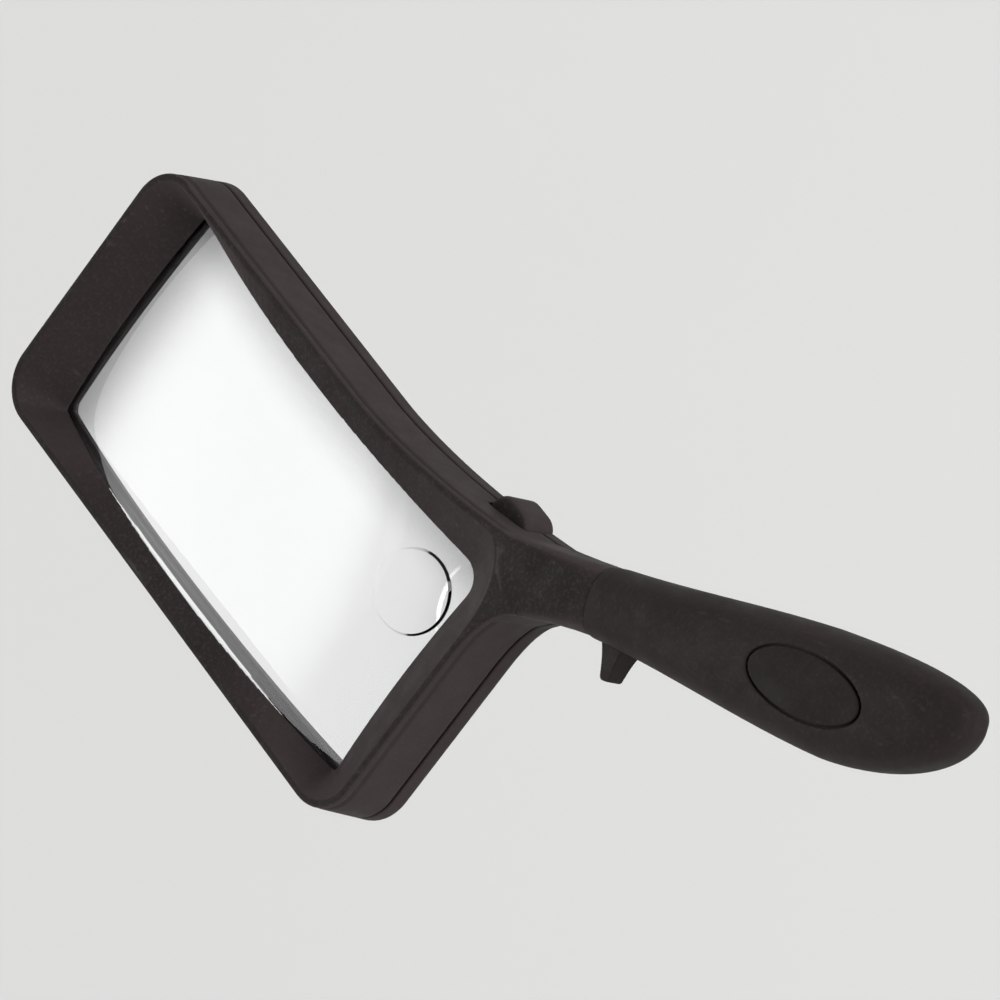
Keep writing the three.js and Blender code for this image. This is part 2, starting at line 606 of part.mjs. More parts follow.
function trigger() {
  const { pivotX, pivotY, pin, boss, low, high, tipY } = TRIGGER;
  const stub = new THREE.Shape();
  stub.moveTo(pivotX - 2, pivotY);
  stub.lineTo(87.3, -3.2);
  stub.quadraticCurveTo(88.6, -5.2, 89.5, -9.5);
  stub.quadraticCurveTo(89.7, tipY, 90.4, tipY);
  stub.lineTo(91.2, tipY);
  stub.quadraticCurveTo(91.9, tipY, 91.9, -9.5);
  stub.quadraticCurveTo(92, -6.4, 92.9, -4.4);
  stub.lineTo(92.6, 2.4);
  stub.quadraticCurveTo(92.3, 3.1, 91.4, 3);
  stub.lineTo(pivotX, 2.4);
  const lever = join(slab(stub, low, high, 5), post(pivotX, pivotY, low, high, boss));
  return cut(lever, triggerTaper(), post(pivotX, pivotY, 0, 20, pin + 0.05));
}

/** A wedge under the stub, which thins it from its root towards its tip. */
function triggerTaper() {
  const { pivotX, low, tipLow, rootY, tipY } = TRIGGER;
  const slope = (tipLow - low) / (rootY - tipY);
  const margin = 2; // how far the wedge runs on past the stub
  const halfWidth = 6;
  const side = new THREE.Shape();
  side.moveTo(rootY + margin / slope, low - margin);
  side.lineTo(tipY - margin, tipLow + margin * slope);
  side.lineTo(tipY - margin, low - margin);
  const wedge = new THREE.ExtrudeGeometry(side, { depth: 2 * halfWidth, bevelEnabled: false });
  return toSolid(wedge.rotateX(Math.PI / 2).rotateZ(Math.PI / 2).translate(pivotX - halfWidth, 0, 0));
}

const triggerPin = () => post(TRIGGER.pivotX, TRIGGER.pivotY, 2.5, 13.9, TRIGGER.pin, TRIGGER.pin, 20);

/** Leads run from the switch and the strip, past the neck boss, to the lamp's legs. */
function redLead() {
  const route = [
    [86.7, 3.4, 11.3], [84, 3.5, 10.9], [81, 4.3, 10.4], [78, 5.7, 9.8], [73, 5.8, 9.4], [68, 6.3, 9.4],
    [63, 6.9, 9.8], [57.4, 7.3, 10.4]];
  return wire(route, 0.45, 18);
}
function blackLead() {
  const route = [
    [94.2, 3.3, 14], [90.5, 3.7, 13.8], [87, 2.7, 13.2], [82, -0.5, 11.8], [78, -1.3, 11.2], [73, -1.2, 10.9],
    [69, 1.8, 11], [65.6, 5.8, 11.1], [62, 6.6, 11.2], [55.4, 6.9, 11.2]];
  return wire(route, 0.45, 26);
}

// ---------------------------------------------------------------- assembly

function add(parent, name, solid, material) {
  const mesh = new THREE.Mesh(toGeometry(solid), material);
  mesh.name = name;
  parent.add(mesh);
}

const magnifier = new THREE.Group();
const handle = new THREE.Group();
handle.rotation.z = HANDLE_ANGLE;
magnifier.add(handle);

add(magnifier, 'front_frame', frontFrame(), frameBlack());
add(magnifier, 'rear_frame', rearFrame(), frameBlack());
add(magnifier, 'main_lens', mainLens(), clearAcrylic());
FRAME_SCREWS.forEach(([x, y], i) => add(magnifier, `frame_screw_${i + 1}`, screw(x, y, 0.4), steel()));
add(magnifier, 'neck_screw', screw(neckScrewAt.x, neckScrewAt.y, 0.4), steel());
add(magnifier, 'lamp_housing', lampHousing(), frameBlack());
add(magnifier, 'lamp_reflector', lampReflector(), silvered());
add(magnifier, 'lamp_bulb', lampBulb(), clearAcrylic());
add(magnifier, 'lamp_window', post(LAMP.x, LAMP.y, LAMP.low, 1.3, 3.9, 3.9, 28), clearAcrylic());

add(handle, 'handle_front_shell', handleFrontShell(), handleBlack());
add(handle, 'handle_rear_shell', handleRearShell(), handleBlack());
add(handle, 'handle_screw', screw(HANDLE_SCREW.x, HANDLE_SCREW.y, 0.7), steel());
add(handle, 'thumb_inlay', thumbInlay(), inlayBlack());
add(handle, 'battery_cover', batteryCover(), handleBlack());
for (let i = 0; i < 2; i++) {
  add(handle, `battery_${i + 1}`, cell(FIRST_CELL_X + i * (CELL.length + GAP)), cellLabel());
}
add(handle, 'contact_arm', contactArm(), brass());
add(handle, 'switch_contact', switchContact(), brass());
add(handle, 'negative_strip', negativeStrip(), brass());
add(handle, 'negative_spring', negativeSpring(), steel());
add(handle, 'trigger', trigger(), handleBlack());
add(handle, 'trigger_pin', triggerPin(), steel());
add(handle, 'red_lead', redLead(), leadJacket(0xa02828));
add(handle, 'black_lead', blackLead(), leadJacket(0x1c1c1c));

// The origin is the middle of the footprint, on the plane that the magnifier lies on.
const footprint = new THREE.Box3().setFromObject(magnifier, true);
const middle = footprint.getCenter(new THREE.Vector3());
magnifier.position.set(-middle.x, -middle.y, -footprint.min.z);

export default magnifier;
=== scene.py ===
"""A lighted rectangular magnifier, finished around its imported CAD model."""
import json
import math

import bmesh
import bpy
from mathutils import Matrix, Vector


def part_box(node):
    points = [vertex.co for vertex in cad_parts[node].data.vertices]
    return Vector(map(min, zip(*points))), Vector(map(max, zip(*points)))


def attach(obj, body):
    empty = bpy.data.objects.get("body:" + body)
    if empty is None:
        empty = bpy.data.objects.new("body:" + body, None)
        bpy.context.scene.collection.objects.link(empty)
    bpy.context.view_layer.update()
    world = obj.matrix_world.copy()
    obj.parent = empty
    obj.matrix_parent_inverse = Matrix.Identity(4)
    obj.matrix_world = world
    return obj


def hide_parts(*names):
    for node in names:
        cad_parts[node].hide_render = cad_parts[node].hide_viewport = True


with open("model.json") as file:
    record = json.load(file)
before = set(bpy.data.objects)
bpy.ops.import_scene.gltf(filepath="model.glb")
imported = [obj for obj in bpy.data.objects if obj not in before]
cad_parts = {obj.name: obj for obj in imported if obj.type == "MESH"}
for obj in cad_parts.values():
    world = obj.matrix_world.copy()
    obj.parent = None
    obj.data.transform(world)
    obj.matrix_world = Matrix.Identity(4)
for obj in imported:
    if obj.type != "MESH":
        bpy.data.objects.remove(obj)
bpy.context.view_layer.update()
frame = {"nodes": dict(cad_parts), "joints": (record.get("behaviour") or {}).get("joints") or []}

# ---------------------------------------------------------------- axes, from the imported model

MM = 0.001


def centre(node):
    """The middle of a CAD node's box, in metres."""
    low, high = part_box(node)
    return (low + high) / 2


def lens_axes():
    """From millimetres about the lens centre, z up from the rear rim, to the row frame."""
    lens = centre("main_lens")
    return Matrix.Translation((lens.x, lens.y, 0)) @ Matrix.Scale(MM, 4)


def handle_angle():
    slide = next(joint for joint in frame["joints"] if joint["name"] == "cover_slide")
    return math.atan2(slide["axis"][1], slide["axis"][0])


LENS_AXES = lens_axes()
HANDLE_TURN = Matrix.Rotation(handle_angle(), 4, "Z")
HANDLE_AXES = LENS_AXES @ HANDLE_TURN


def node_box(node, axes):
    """A CAD node's lowest and highest corner in millimetres, in the given axes."""
    back = axes.inverted()
    points = [back @ vertex.co for vertex in frame["nodes"][node].data.vertices]
    low = Vector(tuple(min(point[i] for point in points) for i in range(3)))
    high = Vector(tuple(max(point[i] for point in points) for i in range(3)))
    return low, high


# ---------------------------------------------------------------- driving dimensions, in millimetres

PARTING = 4.2
HALF_GAP = 0.15
FAR = 400

FRAME_HALF = Vector((60.6, 28.6))
FRAME_CORNER = 8.8
RIM_Z = 15.8
RIM_WIDTH = 1.3
WALL = 1.8
DRAFT = 0.85  # how far the outer walls lean out at the rear

SIGHT_HALF = Vector((50, 23.5))
SIGHT_CORNER = 0.8
NECK_SIDE_CORNER = 4.8
NECK_SIDE_RIM_CORNER = 11
LIP = 0.3
REAR_SIGHT_HALF = Vector((50, 22.9))
REAR_FLARE = 0.9
REAR_CORNER = 2

LENS_HALF = Vector((51.6, 24.7))
LENS_CORNER = 2.5
LENS_FRONT_Z, LENS_FRONT_RADIUS = 16, 190
LENS_REAR_Z, LENS_REAR_RADIUS = 1.2, 560
SPOT_X, SPOT_Y, SPOT_RADIUS, SPOT_CURVE = 41.7, 11.9, 7.9, 62
SPOT_STEP, SPOT_EDGE, SPOT_SKIRT = 0.35, 0.4, 0.04

JOINT_X = 86.2
BUTT_X = 169.8
BUTT_END = BUTT_X - 0.25
HANDLE_Z = 8.8
PALM_X = 141
BACK_X = 135
TIP_Y = 4.8
SHELL_WALL = 1.6
SWITCH_END_X = 97
PLATE_X = 164

CELL_Y, CELL_Z, CELL_RADIUS, CELL_LENGTH = 2.3, 8.4, 6, 30.2
CELL_TUBE_RADIUS = 6.3
FIRST_CELL_X = 98.4

# ---------------------------------------------------------------- solids, in millimetres


def solid(points, faces):
    """A loose working object; it is cut, joined and finished before it becomes a piece."""
    mesh = bpy.data.meshes.new("work")
    mesh.from_pydata([tuple(point) for point in points], [], faces)
    made = bmesh.new()
    made.from_mesh(mesh)
    bmesh.ops.recalc_face_normals(made, faces=made.faces)
    made.to_mesh(mesh)
    made.free()
    work = bpy.data.objects.new("work", mesh)
    bpy.context.scene.collection.objects.link(work)
    return work


def loft(rings):
    """A closed skin over rings of equal length."""
    size = len(rings[0])
    points = [point for ring in rings for point in ring]
    faces = [tuple(range(size)), tuple(range(len(points) - size, len(points)))]
    for start in range(0, len(points) - size, size):
        for i in range(size):
            after = (i + 1) % size
            faces.append((start + i, start + after, start + size + after, start + size + i))
    return solid(points, faces)


def level(outline, z):
    return [Vector((point[0], point[1], z)) for point in outline]


def prism(outline, low, high):
    return loft([level(outline, low), level(outline, high)])


def box(min_x, max_x, min_y, max_y, low, high):
    return prism([(min_x, min_y), (max_x, min_y), (max_x, max_y), (min_x, max_y)], low, high)


def circle(x, y, radius, steps=48):
    turns = [2 * math.pi * i / steps for i in range(steps)]
    return [Vector((x + radius * math.cos(turn), y + radius * math.sin(turn))) for turn in turns]


def post(x, y, low, high, radius, steps=48):
    return prism(circle(x, y, radius, steps), low, high)


def rod(min_x, max_x, radius, steps=64):
    """A cylinder along X on the cells' axis."""
    ring = circle(CELL_Y, CELL_Z, radius, steps)
    return loft([[Vector((x, point[0], point[1])) for point in ring] for x in (min_x, max_x)])


def turned_solid(profile, steps=64):
    """A solid of revolution about Z from (radius, z) pairs that start and end on the axis."""
    points = [Vector((0, 0, profile[0][1])), Vector((0, 0, profile[-1][1]))]
    inner = profile[1:-1]
    for radius, z in inner:
        points += level(circle(0, 0, radius, steps), z)
    faces = []
    for i in range(steps):
        after = (i + 1) % steps
        faces.append((0, 2 + i, 2 + after))
        last = 2 + steps * (len(inner) - 1)
        faces.append((1, last + after, last + i))
        for ring in range(len(inner) - 1):
            start = 2 + steps * ring
            faces.append((start + i, start + steps + i, start + steps + after, start + after))
    return solid(points, faces)


def applied(work):
    """Makes the work object's modifiers permanent."""
    depsgraph = bpy.context.evaluated_depsgraph_get()
    mesh = bpy.data.meshes.new_from_object(work.evaluated_get(depsgraph))
    work.modifiers.clear()
    work.data = mesh
    return work


def combined(operation, first, others):
    for other in others:
        modifier = first.modifiers.new("combine", "BOOLEAN")
        modifier.operation = operation
        modifier.solver = "MANIFOLD"
        modifier.object = other
        modifier.use_self = False
    applied(first)
    for other in others:
        bpy.data.objects.remove(other)
    return first


def join(first, *others):
    return combined("UNION", first, others)


def cut(first, *others):
    return combined("DIFFERENCE", first, others)


def common(first, *others):
    return combined("INTERSECT", first, others)


def turned(work):
    """A solid drawn in the handle's axes, turned into the lens's."""
    work.data.transform(HANDLE_TURN)
    return work


def softened(work, voxel, rounds, keep):
    """One skin with rounded edges, as a moulding has: voxels, a light smoothing, then fewer faces."""
    remesh = work.modifiers.new("skin", "REMESH")
    remesh.mode = "VOXEL"
    remesh.voxel_size = voxel
    smoothing = work.modifiers.new("round", "SMOOTH")
    smoothing.factor = 0.5
    smoothing.iterations = rounds
    thinning = work.modifiers.new("thin", "DECIMATE")
    thinning.ratio = keep
    return applied(work)


def piece(work, name, axes, body, material, nodes=()):
    work.data.transform(axes)
    work.data.name = name
    work.name = name
    work.data.materials.clear()
    work.data.materials.append(material)
    for polygon in work.data.polygons:
        polygon.use_smooth = True
    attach(work, body)
    if nodes:
        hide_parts(*nodes)
    return work


def sharp(work, degrees=30):
    work.data.set_sharp_from_angle(angle=math.radians(degrees))
    return work


# ---------------------------------------------------------------- forms shared by the mouldings


def blend_value(start, end, t):
    return start + (end - start) * t


def ease(t):
    held = min(max(t, 0), 1)
    return 0.45 * held + 0.55 * held * held * (3 - 2 * held)


def palm_edge(x):
    if x < PALM_X:
        return blend_value(-4.1, -9.5, ease((x - JOINT_X) / (PALM_X - JOINT_X)))
    reach = (x - PALM_X) / (BUTT_X - PALM_X)
    return TIP_Y - (9.5 + TIP_Y) * math.sqrt(max(0, 1 - reach * reach))


def butt_rounding(x):
    reach = (x - BACK_X) / (BUTT_X - BACK_X)
    return max(0, 1 - reach ** 2.6) ** (1 / 2.6)


def back_edge(x):
    if x < BACK_X:
        return blend_value(9, 12, ease((x - JOINT_X) / (BACK_X - JOINT_X)))
    return TIP_Y + (12 - TIP_Y) * butt_rounding(x)


def half_thickness(x):
    if x < BACK_X:
        rise = min(max((x - JOINT_X) / 27, 0), 1)
        return blend_value(7.4, HANDLE_Z, 1 - (1 - rise) ** 1.5)
    return HANDLE_Z * butt_rounding(x)


def section(x, low, high, middle, half_z, squareness=2.6, points=96):
    """A superellipse across the handle's X axis."""
    half_y = (high - low) / 2
    ring = []
    for i in range(points):
        angle = 2 * math.pi * i / points
        side, height = (
            math.copysign(abs(value) ** (2 / squareness), value)
            for value in (math.cos(angle), math.sin(angle))
        )
        ring.append(Vector((x, (low + high) / 2 + half_y * side, middle + half_z * height)))
    return ring


def handle_form(inset, start=JOINT_X, rounded=0.0):
    """The handle's outer form; a rounded one has its front edge broken by that much."""
    end = BUTT_END - inset
    stations = [start + i for i in range(1, int(PALM_X - start))]
    rounds = 28
    stations += [PALM_X + (end - PALM_X) * math.sin(math.pi / 2 * i / rounds) for i in range(rounds + 1)]
    pairs = [(start, inset + rounded), (start + rounded + 0.01, inset)] + [(x, inset) for x in stations]
    return loft([
        section(x, palm_edge(x) + d, back_edge(x) - d, HANDLE_Z, half_thickness(x) - d) for x, d in pairs])


NECK_STATIONS = [
    # along, low and high across, bottom, squareness
    (56, -10, 9, 0, 12),
    (66, -7, 8.5, 0, 12),
    (71, -4.6, 8.4, 0, 8),
    (77, -4, 8.5, 0.6, 5),
    (82, -3.8, 8.7, 1.3, 3.4),
    (85.9, -3.8, 8.8, 1.8, 2.8),
]


NECK_OVERRUN = 0.2  # closes most of the gap at the handle, so that only a fine joint line is left


def neck_form(inset, overrun=0.0):
    """The neck's sections go from square at the frame's corner to nearly round at the handle."""
    rings = []
    steps = 6
    pairs = list(zip(NECK_STATIONS, NECK_STATIONS[1:]))
    for before, after in pairs:
        for i in range(steps):
            mixed = [blend_value(a, b, i / steps) for a, b in zip(before, after)]
            rings.append(mixed)
    rings.append(list(NECK_STATIONS[-1]))
    rings[-1][0] += overrun
    return loft([
        section(x, low + inset, high - inset, (RIM_Z + bottom) / 2, (RIM_Z - bottom) / 2 - inset, square)
        for x, low, high, bottom, square in rings])


FLARE_START, FLARE_END = 8, 60


def flare_rise(x):
    return 0.0123 * max(0, x - FLARE_START) ** 1.66


def along_handle(along, across):
    return (HANDLE_TURN @ Vector((along, across, 0))).to_2d()


def arc(x, y, radius, start, turn=math.pi / 2, steps=12):
    angles = [start + turn * i / steps for i in range(steps + 1)]
    return [Vector((x + radius * math.cos(angle), y + radius * math.sin(angle))) for angle in angles]


def frame_plan(grow):
    """The plan of frame and neck root, grown by the draft: a rounded rectangle with a flare at one corner."""
    half_x, half_y, r = FRAME_HALF.x + grow, FRAME_HALF.y + grow, FRAME_CORNER + grow
    outline = arc(r - half_x, half_y - r, r, math.pi / 2)
    outline += arc(r - half_x, r - half_y, r, math.pi)
    outline += arc(half_x - r, r - half_y, r, 1.5 * math.pi)
    palm, palm_lead = along_handle(72, -4.5), along_handle(67, -4.9)
    start, lead = Vector((half_x, 12)), Vector((half_x, 19))
    steps = 24
    for i in range(steps + 1):
        t = i / steps
        a, b, c, d = (1 - t) ** 3, 3 * t * (1 - t) ** 2, 3 * t * t * (1 - t), t ** 3
        outline.append(a * start + b * lead + c * palm_lead + d * palm)
    steps = 40
    for i in range(steps + 1):
        x = blend_value(FLARE_END, FLARE_START, i / steps)
        outline.append(Vector((x, half_y + flare_rise(x))))
    return outline


def inset_outline(outline, inset):
    """Each point moved inwards along the outline's own normal."""
    moved = []
    for i, point in enumerate(outline):
        along = (outline[(i + 1) % len(outline)] - outline[i - 1]).normalized()
        moved.append(point + Vector((-along.y, along.x)) * inset)
    return moved


def stack(outline, profile):
    """A moulding from (z, inset) pairs round one plan."""
    return loft([level(inset_outline(outline, inset), z) for z, inset in profile])


def frame_body(profile):
    """The frame's moulding from (z, inset) pairs; its walls lean out towards the rear."""
    return loft([
        level(inset_outline(frame_plan(DRAFT * (1 - z / RIM_Z)), inset), z) for z, inset in profile])


def rounded_rectangle(half_x, half_y, corner, steps=8):
    outline = []
    for turn, (side_x, side_y) in enumerate([(1, 1), (-1, 1), (-1, -1), (1, -1)]):
        outline += arc(
            side_x * (half_x - corner), side_y * (half_y - corner), corner, turn * math.pi / 2, steps=steps)
    return outline


def sight_ring(half_x, half_y, corner, neck_corner, z_at):
    """Points round the clear view, one corner rounder than the rest."""
    per_corner, per_side = 12, 40
    turns = [(1, 1, neck_corner), (-1, 1, corner), (-1, -1, corner), (1, -1, corner)]

    def on_corner(turn, angle):
        side_x, side_y, radius = turn
        return Vector((
            side_x * (half_x - radius) + radius * math.cos(angle),
            side_y * (half_y - radius) + radius * math.sin(angle)))

    ring = []
    for index, turn in enumerate(turns):
        ring += [on_corner(turn, math.pi / 2 * (index + i / per_corner)) for i in range(per_corner + 1)]
        end = on_corner(turns[(index + 1) % 4], math.pi / 2 * (index + 1))
        start = ring[-1]
        ring += [start.lerp(end, i / per_side) for i in range(1, per_side)]
    return [Vector((point.x, point.y, z_at(point))) for point in ring]


# ---------------------------------------------------------------- materials


def tree_of(name):
    material = bpy.data.materials.new(name)
    material.use_nodes = True
    nodes = material.node_tree.nodes
    return material, nodes, material.node_tree.links, nodes["Principled BSDF"]


def noise(nodes, links, size_mm, detail=3.0, roughness=0.6):
    """Noise whose blotches are about size_mm across, on object coordinates."""
    place = nodes.new("ShaderNodeTexCoord")
    texture = nodes.new("ShaderNodeTexNoise")
    texture.inputs["Scale"].default_value = 1 / (size_mm * MM)
    texture.inputs["Detail"].default_value = detail
    texture.inputs["Roughness"].default_value = roughness
    links.new(place.outputs["Object"], texture.inputs["Vector"])
    return texture.outputs["Fac"]


def spread(nodes, links, source, low, high, start=0.3, end=0.7):
    """Maps a noise's useful middle onto a range."""
    mapped = nodes.new("ShaderNodeMapRange")
    mapped.inputs["From Min"].default_value = start
    mapped.inputs["From Max"].default_value = end
    mapped.inputs["To Min"].default_value = low
    mapped.inputs["To Max"].default_value = high
    links.new(source, mapped.inputs["Value"])
    return mapped.outputs["Result"]


def mixed(nodes, links, factor, first, second):
    mix = nodes.new("ShaderNodeMix")
    mix.data_type = "RGBA"
    links.new(factor, mix.inputs["Factor"])
    for socket, value in ((mix.inputs[6], first), (mix.inputs[7], second)):
        if isinstance(value, tuple):
            socket.default_value = (*value, 1)
        else:
            links.new(value, socket)
    return mix.outputs[2]


def bumped(nodes, links, shader, heights):
    """Chains bumps from (height, strength, depth in mm)."""
    before = None
    for height, strength, depth in heights:
        bump = nodes.new("ShaderNodeBump")
        bump.inputs["Strength"].default_value = strength
        bump.inputs["Distance"].default_value = depth * MM
        links.new(height, bump.inputs["Height"])
        if before:
            links.new(before, bump.inputs["Normal"])
        before = bump.outputs["Normal"]
    links.new(before, shader.inputs["Normal"])


def black_plastic(name, top_painted_shade, wall_painted_light, roughness, grain_mm, grain_depth):
    """Black moulding with painted light: darker where it faces up and lighter on its walls, as the side light
    falls; with grain, dust and worn edges.
    """
    material, nodes, links, shader = tree_of(name)
    place = nodes.new("ShaderNodeTexCoord")
    facing = nodes.new("ShaderNodeSeparateXYZ")
    links.new(place.outputs["Normal"], facing.inputs["Vector"])
    # Painted light: faces that look up get the darker top colour, and walls get the lighter wall colour, as
    # the side light falls.
    painted_facing_mask = spread(nodes, links, facing.outputs["Z"], 0, 1, 0.6, 0.99)
    painted_facing_tone = mixed(nodes, links, painted_facing_mask, wall_painted_light, top_painted_shade)
    dust_and_painted_facing = mixed(nodes, links, painted_facing_mask, tuple(channel * 1.35 for channel in wall_painted_light), tuple(
        channel * 1.5 for channel in top_painted_shade))
    cloud = spread(nodes, links, noise(nodes, links, 18), 0, 0.6)
    body = mixed(nodes, links, cloud, painted_facing_tone, dust_and_painted_facing)
    worn = tuple(channel * 1.7 + 0.004 for channel in wall_painted_light)
    speckle = spread(nodes, links, noise(nodes, links, grain_mm * 2.2, 2), 0, 0.25, 0.5, 0.75)
    speckled = mixed(nodes, links, speckle, body, worn)
    geometry = nodes.new("ShaderNodeNewGeometry")
    edge = spread(nodes, links, geometry.outputs["Pointiness"], 0, 0.3, 0.53, 0.62)
    links.new(mixed(nodes, links, edge, speckled, worn), shader.inputs["Base Color"])
    sheen_blotch = spread(nodes, links, noise(nodes, links, 5), roughness - 0.07, roughness + 0.09)
    links.new(sheen_blotch, shader.inputs["Roughness"])
    shader.inputs["Specular IOR Level"].default_value = 0.12
    grain = noise(nodes, links, grain_mm, 3, 0.55)
    ripple = noise(nodes, links, 9, 2)
    bumped(nodes, links, shader, [(ripple, 0.2, 0.06), (grain, 0.5, grain_depth)])
    return material


def metal(name, colour, roughness, scratch_mm=0.5):
    material, nodes, links, shader = tree_of(name)
    tarnish = spread(nodes, links, noise(nodes, links, 3), 0, 1)
    darker = tuple(channel * 0.78 for channel in colour)
    links.new(mixed(nodes, links, tarnish, colour, darker), shader.inputs["Base Color"])
    links.new(
        spread(nodes, links, noise(nodes, links, 1.6), roughness - 0.08, roughness + 0.12),
        shader.inputs["Roughness"])
    shader.inputs["Metallic"].default_value = 1
    bumped(nodes, links, shader, [(noise(nodes, links, scratch_mm, 4, 0.7), 0.25, 0.02)])
    return material


def painted_border_shade(nodes, links, painted_shades):
    """Painted shade that darkens towards some borders, from (axis, border, inward reach in metres, depth)."""
    place = nodes.new("ShaderNodeTexCoord")
    split = nodes.new("ShaderNodeSeparateXYZ")
    links.new(place.outputs["Object"], split.inputs["Vector"])
    clear = None
    for axis, border, reach, depth in painted_shades:
        shade = nodes.new("ShaderNodeMapRange")
        shade.interpolation_type = "SMOOTHSTEP"
        shade.inputs["From Min"].default_value = border
        shade.inputs["From Max"].default_value = border + reach
        shade.inputs["To Min"].default_value = 1 - depth
        shade.inputs["To Max"].default_value = 1
        links.new(split.outputs[axis], shade.inputs["Value"])
        if clear is None:
            clear = shade.outputs["Result"]
            continue
        darker = nodes.new("ShaderNodeMath")
        darker.operation = "MULTIPLY"
        links.new(clear, darker.inputs[0])
        links.new(shade.outputs["Result"], darker.inputs[1])
        clear = darker.outputs["Value"]
    return clear


def clear_acrylic(name, tint, smear=0.006, painted_shades=()):
    """Optical plastic; shadow rays pass it, so what lies behind stays lit."""
    material, nodes, links, shader = tree_of(name)
    shader.inputs["Transmission Weight"].default_value = 1
    shader.inputs["IOR"].default_value = 1.49
    faint = tuple(channel * 0.985 for channel in tint)
    body = mixed(nodes, links, spread(nodes, links, noise(nodes, links, 25), 0, 1), tint, faint)
    # Painted shade: the tint is darkened towards the listed borders.
    if painted_shades:
        body = mixed(nodes, links, painted_border_shade(nodes, links, painted_shades), (0, 0, 0), body)
    links.new(body, shader.inputs["Base Color"])
    links.new(
        spread(nodes, links, noise(nodes, links, 7, 4), 0, smear, 0.5, 0.8), shader.inputs["Roughness"])
    bumped(nodes, links, shader, [(noise(nodes, links, 14, 1), 0.05, 0.01)])
    see_through = nodes.new("ShaderNodeBsdfTransparent")
    see_through.inputs["Color"].default_value = (0.93, 0.94, 0.945, 1)
    path = nodes.new("ShaderNodeLightPath")
    either = nodes.new("ShaderNodeMixShader")
    links.new(path.outputs["Is Shadow Ray"], either.inputs["Fac"])
    links.new(shader.outputs["BSDF"], either.inputs[1])
    links.new(see_through.outputs["BSDF"], either.inputs[2])
    links.new(either.outputs["Shader"], nodes["Material Output"].inputs["Surface"])
    return material


def jacket(name, colour, roughness):
    material, nodes, links, shader = tree_of(name)
    rubbed = tuple(min(1, channel * 1.3 + 0.01) for channel in colour)
    links.new(
        mixed(nodes, links, spread(nodes, links, noise(nodes, links, 2.5), 0, 1), colour, rubbed),
        shader.inputs["Base Color"])
    links.new(
        spread(nodes, links, noise(nodes, links, 1.2), roughness - 0.06, roughness + 0.1),
        shader.inputs["Roughness"])
    bumped(nodes, links, shader, [(noise(nodes, links, 0.4, 3), 0.3, 0.02)])
    return material


# In each pair, the first colour is painted shade for faces that look up, and the second is painted light for
# the walls.
FRAME_PLASTIC = black_plastic(
    "frame_plastic", (0.0092, 0.0067, 0.0063), (0.042, 0.0335, 0.0322), 0.66, 0.28, 0.05)
HANDLE_PLASTIC = black_plastic(
    "handle_plastic", (0.0112, 0.0084, 0.008), (0.024, 0.0186, 0.0178), 0.66, 0.36, 0.07)
INLAY_PLASTIC = black_plastic(
    "inlay_plastic", (0.0092, 0.0069, 0.0066), (0.017, 0.0135, 0.013), 0.68, 0.25, 0.04)
LENS_MIDDLE = centre("main_lens")
# Painted shade on the lens along its -X and +Y borders.
LENS_PAINTED_SHADES = [
    ("X", LENS_MIDDLE.x - SIGHT_HALF.x * MM, 0.018, 0.6),
    ("Y", LENS_MIDDLE.y + SIGHT_HALF.y * MM, -0.009, 0.48),
]
LENS_ACRYLIC = clear_acrylic("lens_acrylic", (0.985, 0.995, 1.0), painted_shades=LENS_PAINTED_SHADES)
LAMP_CLEAR = clear_acrylic("lamp_clear", (0.97, 0.985, 1.0), 0.05)
STEEL = metal("screw_steel", (0.62, 0.63, 0.65), 0.3)
BRASS = metal("contact_brass", (0.78, 0.6, 0.3), 0.28)
SILVERED = metal("silvered_plastic", (0.9, 0.9, 0.92), 0.14)
CELL_JACKET = jacket("cell_jacket", (0.08, 0.095, 0.11), 0.35)
RED_JACKET = jacket("red_jacket", (0.4, 0.02, 0.02), 0.45)
BLACK_JACKET = jacket("black_jacket", (0.012, 0.012, 0.013), 0.45)

# ---------------------------------------------------------------- lens


def front_surface(r):
    return LENS_FRONT_Z - LENS_FRONT_RADIUS + math.sqrt(LENS_FRONT_RADIUS ** 2 - r * r)


def rear_surface(r):
    return LENS_REAR_Z + LENS_REAR_RADIUS - math.sqrt(LENS_REAR_RADIUS ** 2 - r * r)


def lens_blank(grow, rings=12, steps=96):
    edge = 58
    radii = [edge * i / rings for i in range(rings + 1)]
    rear = [(r, rear_surface(r) - grow) for r in radii]
    front = [(r, front_surface(r) + grow) for r in reversed(radii)]
    return turned_solid(rear + front, steps)


def lens_prism(grow):
    return prism(rounded_rectangle(LENS_HALF.x + grow, LENS_HALF.y + grow, LENS_CORNER), -1, 20)


def spot_cap():
    """The stronger spot: a shallow cap with a small step at its edge, square to the surface under it."""

    def sag(r):
        return SPOT_CURVE - math.sqrt(SPOT_CURVE ** 2 - r * r)

    root = -2
    rings = 16
    profile = [(0, root), (SPOT_RADIUS, root), (SPOT_RADIUS, SPOT_SKIRT)]
    for i in range(rings, -1, -1):
        r = (SPOT_RADIUS - SPOT_EDGE) * i / rings
        profile.append((r, SPOT_STEP + sag(SPOT_RADIUS) - sag(r)))
    cap = turned_solid(profile, 128)
    distance = math.hypot(SPOT_X, SPOT_Y)
    normal = Vector((SPOT_X, SPOT_Y, math.sqrt(LENS_FRONT_RADIUS ** 2 - distance ** 2)))
    tilt = normal.to_track_quat("Z", "Y").to_matrix().to_4x4()
    cap.data.transform(Matrix.Translation((SPOT_X, SPOT_Y, front_surface(distance))) @ tilt)
    return cap


def make_lens():
    lens = join(common(lens_blank(0, 48, 192), lens_prism(0)), spot_cap())
    sharp(piece(lens, "lens", LENS_AXES, "magnifier", LENS_ACRYLIC, ["main_lens"]))


# ---------------------------------------------------------------- frame


